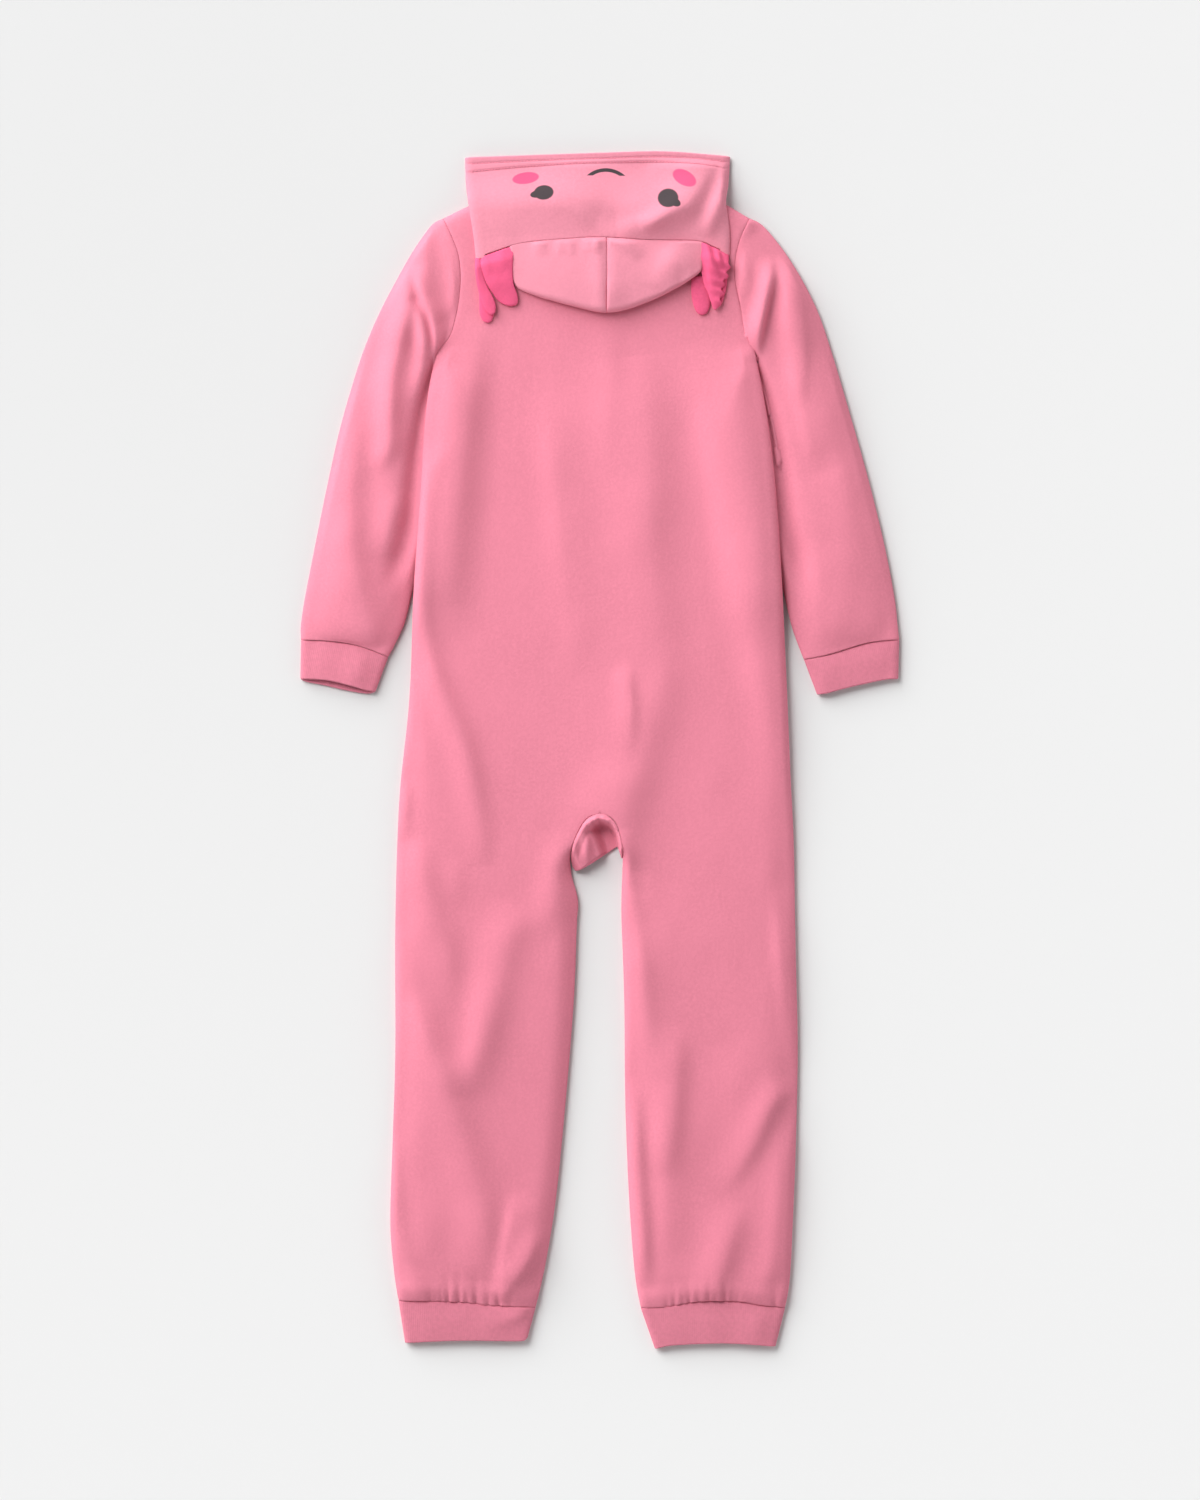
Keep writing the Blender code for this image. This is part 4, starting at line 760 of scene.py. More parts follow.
# the sleeves
sleeve = {
    "outer": {
        -1: ((-136.6, 462.8), (-145.5, 458.0), (-156.6, 443.7), (-169.7, 422.8), (-186.2, 391.5),
             (-202.7, 356.7), (-224.5, 287.1), (-240.1, 217.5), (-254.0, 147.9), (-260.1, 113.1),
             (-260.4, 95.7)),
        1: ((130.5, 462.8), (139.5, 458.5), (153.1, 443.7), (167.9, 422.8), (185.3, 391.5), (198.4, 356.7),
            (219.2, 287.1), (238.4, 217.5), (254.0, 147.9), (258.6, 113.1), (260.6, 96.0)),
    },
    "inner": {
        -1: ((-164.0, 138.0), (-165.3, 128.0), (-169.5, 112.2), (-178.4, 92.2), (-184.4, 80.9)),
        1: ((159.9, 138.0), (161.0, 128.0), (166.6, 108.8), (173.0, 90.0), (177.5, 78.6)),
    },
    # lines across the sleeves: outer y, inner y, bow towards the body
    "lines": ((458.0, 336.0, 15.5), (447.0, 331.0, 13.5), (430.0, 323.0, 10.5), (407.0, 309.0, 7.5),
              (380.0, 293.0, 5.0), (348.0, 273.0, 3.0), (314.0, 249.0, 1.0), (278.0, 221.0, 0.0),
              (240.0, 190.0, 0.0), (202.0, 163.0, 0.0), (165.0, 138.5, -1.0), (130.0, 111.0, -3.0),
              (108.0, 91.0, -4.0)),
    "wrist": {
        -1: ((-260.4, 95.7), (-236.6, 94.8), (-216.6, 92.2), (-200.5, 87.5), (-184.4, 80.9)),
        1: ((260.6, 96.0), (244.0, 94.8), (228.8, 92.2), (199.2, 83.1), (177.5, 78.6)),
    },
    "pressed": 4.6,          # how much lower a sleeve lies beside the body's side
    "trough": (19.0, 8.5),   # how far that is from the inner fold, and its width
    "bank": (6.0, 5.0, 0.35),      # a rise between it and the fold: place, width, share of the depth
}
sleeveFolds = (
    # left sleeve, from its outer side to the shoulder
    (8, 24, ((-201, 345, 0), (-205, 300, 1.6), (-208, 255, 2.4), (-209, 215, 2.8), (-205, 165, 3.0),
             (-198, 128, 2.6), (-190, 100, 1.4), (-187, 90, 0))),
    (8, 22, ((-186, 350, 0), (-190, 310, -1.6), (-192, 270, -1.6), (-192, 235, -1.2), (-188, 195, -0.8),
             (-184, 160, 0))),
    (4.5, 12, ((-164, 424, 0), (-162.5, 400, 3.6), (-163, 378, 3.8), (-169, 350, 3.2), (-175, 320, 2.8),
               (-176, 285, 3.0), (-177, 262, 2.4), (-186, 246, 1.0), (-196, 238, 0))),
    (2.0, 8, ((-163, 420, 0), (-159, 404, -2.2), (-155.4, 391.5, -3.4), (-148, 375, -4.0),
              (-144.8, 357, -3.8), (-144.5, 343, -1.5))),
    (3.0, 7, ((-156, 392, 0), (-152, 378, 2.2), (-149, 362, 2.8), (-149, 345, 2.4), (-152, 325, 1.6),
              (-156, 300, 0))),
    (5, 12, ((-140, 458, 0), (-147, 440, 2.0), (-147, 420, 1.8), (-142, 400, 1.4), (-135, 384, 1.0),
             (-130, 374, 0))),
    (3.5, 10, ((-133, 435, 0), (-129, 415, -1.2), (-128, 395, -1.4), (-130, 378, 0))),
    (3, 8, ((-159, 392, 0), (-153, 372, 1.6), (-148, 352, 1.6), (-146, 338, 0))),
    (5, 14, ((-168, 225, 0), (-175, 203, 1.0), (-180, 182, 1.1), (-180, 165, 0))),
    # right sleeve, from the shoulder to its outer side
    (5, 14, ((117, 452, 0), (124, 432, 2.2), (132, 410, 2.2), (134, 392, 0.8), (133, 380, 0))),
    (2.2, 9, ((150, 428, 0), (150.5, 410, 3.2), (147, 392, 4.4), (142, 368, 4.4), (140, 352, 2.0),
              (140, 343, 0.2))),
    (6, 20, ((152, 428, 0), (157, 405, -3.2), (157, 372, -3.6), (163, 335, -2.8), (170, 295, -2.6),
             (177, 265, -1.8), (183, 240, 0))),
    (9, 28, ((168, 250, 0), (176, 210, -1.5), (182, 170, -1.6), (183, 130, -1.3), (182, 95, 0))),
    (3, 10, ((166, 424, 0), (176, 390, 1.0), (180, 355, 1.2), (180, 325, 0.8), (178, 300, 0))),
    (10, 32, ((183, 350, 0), (190, 310, -1.6), (197, 270, -1.7), (204, 230, -1.4), (206, 180, -1.1),
              (206, 140, -0.9), (206, 105, 0))),
)


def tube(paths, middle, roll, seamHeight, ground, topOf, lastRoll=None):
    # a flattened tube: each row goes along its path on the upper face and back on the lower one, and rolls
    # over at both folds. paths holds evenly spaced points, rows by points by 2
    rows, count = paths.shape[:2]
    length = np.linalg.norm(np.diff(paths, axis=1), axis=2).sum(axis=1)[:, None]
    firstRoll = np.full((rows, 1), roll)
    distance, angle, _ = acrossRows(length, firstRoll, firstRoll if lastRoll is None else lastRoll, middle)
    at = distance / length * (count - 1)
    low = np.clip(np.floor(at).astype(int), 0, count - 2)
    part = (at - low)[:, :, None]
    row = np.arange(rows)[:, None]
    plan = paths[row, low] * (1 - part) + paths[row, low + 1] * part
    x, y = plan[:, :, 0], plan[:, :, 1]
    floor = ground(x, y)
    full = floor + topOf(x, y, distance, length - distance)
    turn = 1 - np.sin(angle)
    upper = full - turn * (full - floor - seamHeight)
    lower = floor + turn * seamHeight
    upperFace = np.stack([x, y, upper], axis=2)
    lowerFace = np.stack([x, y, lower], axis=2)[:, -2:0:-1]
    return np.concatenate([upperFace, lowerFace], axis=1)


def onFloor(x, y):
    return 0 * x


def tubeWall(grid, thickness, openEnd=False):
    # both ends are seams, or the last one is an open end with a round rim
    centre = grid.mean(axis=1, keepdims=True)
    normal = normalsOf(grid, True, (grid - centre) * (0.05, 0.05, 1))
    last = arcFrom(grid, 0, True)
    edge = np.minimum(seamEdge(arcFrom(grid, 0)), softEdge(last, 1.2) if openEnd else seamEdge(last))
    return wall(grid, normal, thickness, edge, wrap=True)


def makeSleeve(name, node, sign):
    outerX, innerX = xAlong(sleeve["outer"][sign]), xAlong(sleeve["inner"][sign])

    def innerFold(y):
        tuck = -1.0 + (suit["tuck"] + 1.0) * smooth(y, 142, 182) * (1 - 0.8 * smooth(y, 304, 338))
        return np.where(y > 138, sideX[sign](y) - sign * tuck, innerX(y))

    count = 40
    levels = np.linspace(suit["shoulderTip"], suit["underarm"], 160)
    armhole = np.column_stack([sideX[sign](levels) + sign * suit["seamGap"], levels])
    lines = [curve(armhole, count)]
    for outerY, innerY, bow in sleeve["lines"]:
        start = np.array((outerX(outerY), outerY))
        end = np.array((float(innerFold(innerY)), innerY))
        share = np.linspace(0, 1, 5)[:, None]
        lines.append(curve(start + (end - start) * share + (-sign * bow, 0) * np.sin(math.pi * share), count))
    lines.append(curve(sleeve["wrist"][sign], count) + (0, suit["seamGap"]))
    stacked = np.column_stack([np.array(lines).reshape(len(lines), -1), np.arange(len(lines))])
    fine = curve(stacked, 400)
    along = spaced(0, (8, 14), (390, 118), (399, 14))
    fine = np.stack([np.interp(along, np.arange(400), column) for column in fine.T], axis=1)
    paths, number = fine[:, :-1].reshape(len(fine), count, 2), fine[:, -1:]
    hold = np.clip(1 - number / 2, 0, 1)

    def ground(x, y):
        return hold * suit["tuckLift"] * (1 - smooth(y, *suit["liftLevels"][2:]))

    def topOf(x, y, fromOuter, fromInner):
        # the sleeve's own height, which starts as the body's at the armhole and is pressed down beside the
        # body's side
        d = np.minimum(fromOuter, fromInner)
        loft = suit["loft"] * (1 - np.exp(-2 * (d / suit["loftReach"]) ** 2))
        troughAt, troughWidth = sleeve["trough"]
        bankAt, bankWidth, bankShare = sleeve["bank"]
        pressed = smooth(y, 130, 175) * (1 - smooth(y, 330, 360))
        pressed = pressed * (np.exp(-((fromInner - troughAt) / troughWidth) ** 2)
                             - bankShare * np.exp(-((fromInner - bankAt) / bankWidth) ** 2))
        loft = loft - sleeve["pressed"] * pressed
        slow = 0.5 * uneven(x, y, 37, 11) + 0.22 * uneven(x, y, 15, 12)
        creased = suit["foldStrength"] * smooth(d, 0, 8) * folds(sleeveFolds, x, y)
        top = suit["flatTop"] + np.maximum(loft + creased + smooth(d, 6, 18) * slow, -1.3)
        top += (7.0 - top) * 0.8 * smooth(number, len(lines) - 2.6, len(lines) - 1)
        near = number[:, 0] < 1.2
        body = bodyTop(x[near], y[near]) - ground(x, y)[near]
        top[near] += (body - top[near]) * (1 - smooth(number[near], 0, 1.2))
        return top

    rollAtInner = 0.8 + (suit["roll"] - 0.8) * smooth(number, 0, 1)
    grid = tube(paths, 34, suit["roll"], suit["seamHeight"], ground, topOf, rollAtInner)
    upper = grid[:, :, 2] > ground(0, grid[:, :, 1]) + suit["seamHeight"]
    dip = seamDip(arcFrom(grid, 0), "sleeveTop") + seamDip(arcFrom(grid, 0, True), "sleeveEnd")
    grid[:, :, 2] -= np.where(upper, dip, 0)
    walls = [tubeWall(grid, suit["fleeceWall"])]
    return place(makeMesh(name, walls, [finish["fleece"]]), "fleece", node)


makeSleeve("sleeveLeft", "sleeve_left", -1)
makeSleeve("sleeveRight", "sleeve_right", 1)
print("sleeves made")

# rib cuffs, each between its seam and its mouth
cuffs = {
    "wristCuffLeft": {
        "node": "sleeve_cuff_left", "top": sleeve["wrist"][-1], "lowerDrop": 5.0, "middle": 30,
        "end": ((-261.0, 61.8), (-238.4, 60.6), (-218.4, 56.1), (-202.7, 51.6), (-195.5, 50.8)),
        "folds": ((5, 12, ((-202, 92, 0.8), (-203, 72, 1.0), (-205, 56, 0.6))),),
    },
    "wristCuffRight": {
        "node": "sleeve_cuff_right", "top": sleeve["wrist"][1], "lowerDrop": 0.0, "middle": 30,
        "end": ((259.8, 61.8), (247.1, 60.9), (214.9, 53.9), (199.2, 49.6), (189.1, 47.9)),
        "folds": ((6, 14, ((190, 80, 0.5), (200, 66, 0.8), (206, 52, 0.4))),),
    },
    "ankleCuffLeft": {
        "node": "leg_cuff_left", "leg": -1, "lowerDrop": 0.0, "middle": 56,
        "end": ((-169.7, -516.3), (-136.6, -514.6), (-110.5, -514.2), (-69.6, -514.6), (-63.1, -512.0)),
        "folds": ((4, 12, ((-56, -486, 1.6), (-68, -495, 1.8), (-86, -502, 0.9), (-104, -504, 0))),),
    },
    "ankleCuffRight": {
        "node": "leg_cuff_right", "leg": 1, "lowerDrop": 0.0, "middle": 56,
        "end": ((152.8, -519.4), (122.7, -517.1), (94.8, -516.8), (61.8, -518.5), (47.9, -521.6)),
        "folds": ((5, 12, ((146, -484, 0), (143, -500, 1.0), (140, -520, 0.6))),),
    },
}


cuffShape = {"height": 6.0, "roll": 6.0, "foldHeight": 2.8, "bulge": 0.7, "gape": 0.4}


def makeCuff(name, spec):
    # a flattened tube from the seam to the mouth: straight between them in plan, and swelling as a half sine
    # on the way; where the lower layer shows, it drops past the upper one as a half sine across
    if "leg" in spec:
        x = np.linspace(sideX[spec["leg"]](suit["legEnd"]), insideX[spec["leg"]](suit["legEnd"]), 9)
        top = np.column_stack([x, hemY[spec["leg"]](x)])
    else:
        top = spec["top"]
    first, last = curve(top, 60), curve(spec["end"], 60)
    first = first + unit(last - first) * suit["seamGap"]
    share = spaced(0, (0.08, 8), (0.94, 20), (1, 10))[:, None, None]
    paths = first[None] + (last - first)[None] * share
    share = share[:, :, 0]

    def topOf(x, y, fromFirst, fromLast):
        d = np.minimum(fromFirst, fromLast)
        gape = cuffShape["gape"] + spec["lowerDrop"] * 0.25 * share
        slow = 0.3 * uneven(x, y, 16, 21) * smooth(d, 3, 12)
        bulge = cuffShape["bulge"] * np.sin(math.pi * share) * smooth(d, 2, 20)
        creased = folds(spec["folds"], x, y) * smooth(d, 2, 10)
        return cuffShape["height"] + gape * smooth(d, 2, 25) + slow + bulge + creased

    grid = tube(paths, spec["middle"], cuffShape["roll"], cuffShape["foldHeight"], onFloor, topOf)
    lower = grid[:, spec["middle"] + 2 * rollAngles.size:]
    step = unit((last - first).mean(axis=0)) * spec["lowerDrop"]
    bell = np.sin(np.linspace(0, math.pi, lower.shape[1] + 2)[1:-1])[None, :, None]
    lower[:, :, :2] += step * bell * share[:, :, None]
    upper = grid[:, :, 2] > 3
    grid[:, :, 2] -= np.where(upper, seamDip(arcFrom(grid, 0), "cuff"), 0)
    piece = makeMesh(name, [tubeWall(grid, suit["ribWall"], openEnd=True)], [finish["rib"]])
    uvLayer = piece.data.uv_layers.new(name="around")
    corners = np.zeros(len(piece.data.loops), np.int32)
    piece.data.loops.foreach_get("vertex_index", corners)
    spots = np.zeros(len(piece.data.vertices) * 3)
    piece.data.vertices.foreach_get("co", spots)
    spots = spots.reshape(-1, 3)[:, :2]
    acrossCuff = unit(last[-1] - last[0])
    downCuff = np.array((-acrossCuff[1], acrossCuff[0]))
    uv = np.column_stack([spots @ acrossCuff, spots @ downCuff])[corners]
    uvLayer.data.foreach_set("uv", uv.ravel())
    return place(piece, "rib", spec["node"])


for name, spec in cuffs.items():
    makeCuff(name, spec)
print("cuffs made")

# the crotch gusset, a panel that turns under the arch
gusset = {
    "seam": ((-23.9, -101.0), (-25.1, -92.2), (-22.0, -79.4), (-15.9, -66.6), (-10.0, -59.4), (0.0, -55.4),
             (8.3, -58.7), (14.4, -65.7), (18.6, -80.0), (19.7, -87.0), (19.3, -94.0)),
    "fold": ((-21.5, -105.5), (-17.0, -104.5), (-8.0, -99.5), (2.0, -93.0), (11.0, -86.8), (14.8, -84.6),
             (16.4, -88.0), (18.6, -94.4)),
    "middle": (0.0, -88.0),
    "wall": 1.8,
    "seamOut": 0.5,          # how far its edge goes under the body's
    "rimWidth": 5.4,
    "rimHeight": 0.6,
    "hollowSide": ((-9.0, -60.0, 0), (-6.5, -70.0, 0), (-2.0, -80.0, 0), (2.0, -92.0, 0)),
    "hollowDepth": 1.9,
    "highSide": 7.8,         # of the left part over the hollow
    "pleatStrength": 3.0,
    # gathers under the rim and folds that fan out from them, rows as in the body's table
    "pleats": (
        (1.2, 3.5, ((-14.0, -61.5, 0), (-11.5, -66.0, 0.8), (-9.0, -71.0, 0))),
        (1.2, 3.5, ((-8.5, -58.5, 0), (-6.5, -64.0, 1.0), (-3.5, -69.0, 0))),
        (1.2, 3.0, ((-3.5, -57.0, 0), (-2.0, -62.0, 1.0), (1.5, -68.0, 0))),
        (1.2, 3.0, ((3.5, -57.0, 0), (4.0, -61.5, 0.9), (5.0, -67.0, 0))),
        (1.2, 3.0, ((7.5, -59.0, 0), (7.5, -63.0, 0.8), (8.5, -68.0, 0))),
        (2.2, 7.0, ((-18.0, -72.0, 0), (-16.0, -82.0, -0.7), (-13.5, -92.0, -0.6), (-12.5, -100.0, 0))),
        (2.2, 6.0, ((-12.0, -66.0, 0), (-9.0, -76.0, 0.9), (-8.5, -88.0, 0.6), (-9.5, -98.0, 0))),
    ),
}


def makeGusset():
    # rows go from the arch seam to the fold at the surface: a round rim beside the seam, a high left part,
    # and a hollow right of the crease that parts them
    v = spaced(0, (0.3, 22), (0.95, 26), (1, 3))[:, None]
    seam, fold = curve(gusset["seam"], 110), curve(gusset["fold"], 110)
    seam = seam + gusset["seamOut"] * unit(seam - gusset["middle"])
    plan = seam[None] + (fold - seam)[None] * v[:, :, None]
    x, y = plan[:, :, 0], plan[:, :, 1]
    full = bodyTop(seam[:, 0], seam[:, 1])
    rolled = smooth(-seam[:, 1], *suit["legRoll"])
    seamZ = (full * (1 - rolled) + (suit["seamHeight"] + 0.2) * rolled - 0.15)[None]
    inside = v * np.linalg.norm(fold - seam, axis=1)[None]
    width = np.minimum(gusset["rimWidth"], 0.8 * np.linalg.norm(fold - seam, axis=1))[None]
    rim = gusset["rimHeight"] * np.sin(math.pi * np.clip(inside / width, 0, 1))
    away, _ = besideLine(gusset["hollowSide"], x, y)
    high = 1 - smooth(away, -3.0, 6.5)
    floor = gusset["hollowDepth"] + high * (gusset["highSide"] - smooth(v, 0.5, 1.0))
    down = smooth(inside, 0.7 * width, 2.2 * width)
    z = seamZ + rim - down * np.maximum(seamZ - floor, 0)
    pleats = gusset["pleatStrength"] * folds(gusset["pleats"], x, y)
    z = z + pleats * smooth(inside, 0.6, 2.4) * (1 - smooth(v, 0.85, 1.0))
    z = z - (z - 2.0) * smooth(v, 0.93, 1.0) * 0.6
    grid = np.dstack([x, y, np.maximum(z, gusset["hollowDepth"])])
    points = wall(grid, normalsOf(grid, False, (0, 0, 1)), gusset["wall"], seamEdge(fromEdges(grid)))
    return place(makeMesh("crotchGusset", [points], [finish["fleece"]]), "fleece", "crotch_gusset")


makeGusset()
print("gusset made")

# the hood: a band round the face opening and two crown panels, folded onto the shoulders
hood = {
    "hem": ((-117.7, 515.9), (-60.0, 517.8), (0.0, 519.8), (55.7, 521.1), (113.5, 516.8)),
    "edge": {
        -1: ((-117.7, 518.0), (-116.8, 493.3), (-114.0, 471.5), (-109.6, 443.7), (-107.9, 425.0)),
        1: ((113.5, 519.0), (111.9, 493.3), (109.6, 475.0), (112.8, 451.9), (112.6, 428.0)),
    },
    "seam": ((-110.0, 426.4), (-92.0, 432.6), (-74.8, 438.3), (-60.0, 441.0), (-27.0, 443.7), (1.0, 445.0),
             (39.2, 442.6), (82.7, 442.0), (98.0, 437.2), (114.0, 429.8)),
    "crownFold": ((-78.4, 420.0), (-76.4, 410.0), (-71.5, 401.0), (-60.0, 395.6), (-43.5, 390.2),
                  (-8.0, 381.0), (6.1, 379.3), (22.6, 381.8), (47.4, 391.0), (70.5, 403.0),
                  (84.0, 412.0), (90.0, 418.0)),
    "crownSides": {-1: -79.0, 1: 91.0},
    "crownMiddle": 6.1,
    "crownHeight": 10.5,
    "crownDrop": 6.3,        # how much lower its fold is at the sides
    "crownClear": 0.6,       # between it and the back
    "crownIn": 1.4,          # how much further in than its seam the fold ends
    "crownRise": (2.2, 1.4),       # between seam and fold: in the middle, and how much less at the sides
    "crownCreases": 1.6,
    "roll": 7.0,
    "hemHeight": 5.0,
    "climb": 9.3,            # from the hem onto the shoulders
    "dome": (0.6, 2.2),      # at the hem, and how much more towards the crown
    "creases": 1.5,
    "hemRaise": 0.9,         # of the hem turned under
    "sewingSink": 0.6,
    "sewingWidth": 0.9,
    "sideAt": 115.0,
    "depth": 76.0,           # of the band, from the hem to the crown seam
    "ringShare": 0.37,       # of the band's depth that goes all the way round
    "lowerShares": (0.0, 0.05, 0.12, 0.20, 0.29, 0.37),
    "lowerParts": (0, 0.1, 0.3, 0.5, 0.75, 1.0),      # of the way to the neck at those shares
    "underLevels": ((430.0, 460.0, 477.5, 484.0), (8.8, 8.6, 7.2, 0.0)),
    # two lines of sewing: how far they run from the hem, at each x
    "sewing": (((-116.0, 5.0), (0.0, 5.4), (112.0, 4.4)),
               ((-116.0, 10.9), (-20.0, 9.0), (60.0, 9.2), (112.0, 9.4))),
}
hoodFolds = (
    (22, 50, ((-84, 512, 0), (-88, 480, -1.6), (-86, 445, 0))),
    # the dip in the middle and its banks
    (5, 24, ((-62, 477, 0), (-42, 470, -1.2), (-22, 461, -1.4), (-4, 454, 0))),
    (12, 30, ((40, 503, 0), (5, 497, 1.0), (-20, 488, 1.4), (-30, 478, 0.6), (-36, 470, 0))),
    (6, 20, ((98, 508, 0), (80, 503, 1.0), (60, 501, 0.8), (40, 501, 0))),
    (4, 12, ((62, 470, 0), (42, 464, -1.0), (20, 457, -0.9), (-8, 450, 0))),
    # the long fold that sweeps down from the right corner
    (3, 9, ((76, 470, 0), (62, 462, 2.2), (48, 454, 2.4), (35, 449, 0))),
    (6, 20, ((105, 513, 0), (101, 503, 3.2), (90, 483, 4.6), (78, 466, 4.6), (56, 453, 3.2), (28, 446, 1.2),
             (16, 444, 0))),
    (12, 24, ((94, 517, 0), (88, 505, 1.7), (79, 492, 1.9), (70, 478, 1.1), (60, 468, 0))),
    (13, 34, ((22, 513, 0), (13, 499, 1.1), (6, 486, 1.3), (0, 474, 0.8), (-4, 466, 0))),
    (4.5, 8, ((110, 512, 0), (106.5, 503, -2.8), (101, 484, -3.6), (92, 462, -3.0), (86, 447, 0))),
)
hoodHemY, hoodSeamY, crownFoldY = yAlong(hood["hem"]), yAlong(hood["seam"]), yAlong(hood["crownFold"])
hoodEdgeX = {s: xAlong(hood["edge"][s]) for s in (-1, 1)}


def hoodTop(x, y):
    # height of the band's upper face: it climbs from the hem onto the shoulders, domes, and folds
    side = hood["hemHeight"] + hood["climb"] * smooth(-y, -510, -468)
    dome = (hood["dome"][0] + hood["dome"][1] * smooth(-y, -515, -455)) * (1 - (x / 118) ** 2)
    inside = smooth(117 - np.abs(x), 3, 12) * smooth(-y, -517, -505)
    return side + dome + inside * (hood["creases"] * folds(hoodFolds, x, y) + 0.25 * uneven(x, y, 17, 31))


def bandLevel(x, share):
    return hoodHemY(x) + (hoodSeamY(x) + suit["seamGap"] - hoodHemY(x)) * share


def sewingDepth(line, x):
    return np.interp(x, *np.array(hood["sewing"][line]).T)


def hemRaise(x, fromHem):
    # the folded hem lies higher up to its second line of sewing, and both lines sink into it
    last = sewingDepth(1, x)
    raised = hood["hemRaise"] * (1 - smooth(fromHem - last, -0.4, 0.9))
    for line in (0, 1):
        away = (fromHem - sewingDepth(line, x)) / hood["sewingWidth"]
        raised = raised - hood["sewingSink"] * np.exp(-away ** 2)
    return raised


def makeHoodBand():
    # rows go from the hem to the crown seam. Each runs from the split at the front, along the lower layer,
    # round the side fold, across the upper layer and back; past the ring share there is no lower layer
    lowerCount, foldCount = 30, 13
    shares = spaced(0, (13, 27), (72, 50), (72.6, 2), (hood["depth"], 9)) / hood["depth"]
    share = shares[:, None]
    angles = np.linspace(-math.pi / 2, math.pi / 2, foldCount)
    sides = {}
    for sign in (-1, 1):
        y = bandLevel(sign * hood["sideAt"], share)
        x = hoodEdgeX[sign](y) - sign * hood["roll"] * (1 - np.cos(angles))
        rowY = np.where(share < 1e-9, bandLevel(x, share), y + 0 * x)
        under, top = np.interp(y, *hood["underLevels"]), hoodTop(x, rowY)
        middle = (under + top) / 2
        up = np.sin(angles)
        z = np.where(up > 0, middle + (top - middle) * up, middle + (middle - under) * up)
        sides[sign] = np.stack([x, rowY, z], axis=2)
    t = np.linspace(0, 1, 150)[None, 1:-1]
    x = sides[-1][:, -1:, 0] * (1 - t) + sides[1][:, -1:, 0] * t
    y = bandLevel(x, share)
    upper = np.stack([x, y, hoodTop(x, y)], axis=2)
    fromHem = share * hood["depth"]
    top = np.concatenate([sides[-1], upper, sides[1][:, ::-1]], axis=1)
    number = np.arange(top.shape[1])
    top[:, :, 2] += hemRaise(top[:, :, 0], fromHem) * smooth(np.minimum(number, number[::-1]), 6, 12)
    lower = {}
    for sign in (-1, 1):
        firstX, firstY = sides[sign][:, :1, 0], sides[sign][:, :1, 1]
        x = np.abs(firstX) * np.linspace(0, 1, lowerCount, endpoint=False)[None]
        x = sign * np.maximum(x, suit["seamGap"] / 2)
        end = frontTopY(np.abs(x)) + suit["seamGap"] + 4.3 * smooth(np.abs(x), 60, 92)
        start = hoodHemY(x) - 1.5
        y = start + (end - start) * np.interp(share, hood["lowerShares"], hood["lowerParts"])
        nearSide = smooth(np.abs(x), 88, 108)
        y = y * (1 - nearSide) + firstY * nearSide
        lower[sign] = np.stack([x, y, 0 * x], axis=2)
    grid = np.concatenate([lower[-1], top, lower[1][:, ::-1]], axis=1)
    keep = np.ones((len(shares) - 1, grid.shape[1] - 1), bool)
    keep[shares[1:] > hood["ringShare"], :lowerCount] = False
    keep[shares[1:] > hood["ringShare"], -lowerCount:] = False
    outward = np.zeros(grid.shape)
    outward[:, lowerCount + foldCount:-lowerCount - foldCount, 2] = 1
    free = np.minimum(arcFrom(grid, 0), np.minimum(arcFrom(grid, 1), arcFrom(grid, 1, True)))
    edge = np.minimum(softEdge(free, 1.1), seamEdge(arcFrom(grid, 0, True)))
    points = wall(grid, normalsOf(grid, False, outward), suit["fleeceWall"], edge, keep=keep)

    def printedFaces(spots, faces):
        high = spots[faces, 2].min(axis=1)
        y = spots[faces, 1].mean(axis=1)
        x = spots[faces, 0].mean(axis=1)
        return (high > hoodTop(x, y) - 1.4).astype(int)

    piece = makeMesh("hoodBand", [points], [finish["hood"], finish["hoodPrinted"]], printedFaces)
    return place(piece, "hood_fleece", "hood_band")


crownFolds = {
    # gathers along the band's seam, then the hollow beside the middle seam
    -1: ((2.0, 5, ((-58, 441, -0.8), (-57, 434, -0.5), (-56, 428, 0))),
         (2.0, 5, ((-48, 441, 0.9), (-46, 434, 0.5), (-44, 428, 0))),
         (2.0, 5, ((-38, 442, -0.8), (-37, 434, -0.5), (-36, 428, 0))),
         (2.2, 5, ((-24, 443, 0.9), (-22, 435, 0.6), (-20, 429, 0))),
         (2.4, 6, ((-14, 442, -1.0), (-13, 435, -0.6), (-12, 430, 0))),
         (2.0, 5, ((-4, 443, -1.2), (-6, 437, -0.8), (-10, 431, 0))),
         (2.5, 8, ((0, 440, 1.0), (2.5, 425, 1.0), (3, 405, 0.9), (3.5, 384, 0.7)))),
    1: ((2.5, 8, ((9, 436, -0.7), (9.5, 420, -0.5), (9, 400, -0.3), (8.5, 384, 0))),
        (3.0, 10, ((9, 441, -1.6), (20, 434, -1.8), (33, 422, 0))),
        (7, 18, ((13, 414, 0), (16, 398, 1.2), (20, 386, 0.6))),
        (6, 16, ((62, 440, -1.0), (54, 426, -1.6), (45, 408, -1.0), (42, 400, 0))),
        (5, 14, ((76, 438, 1.0), (76, 420, 1.4), (72, 406, 0.8)))),
}


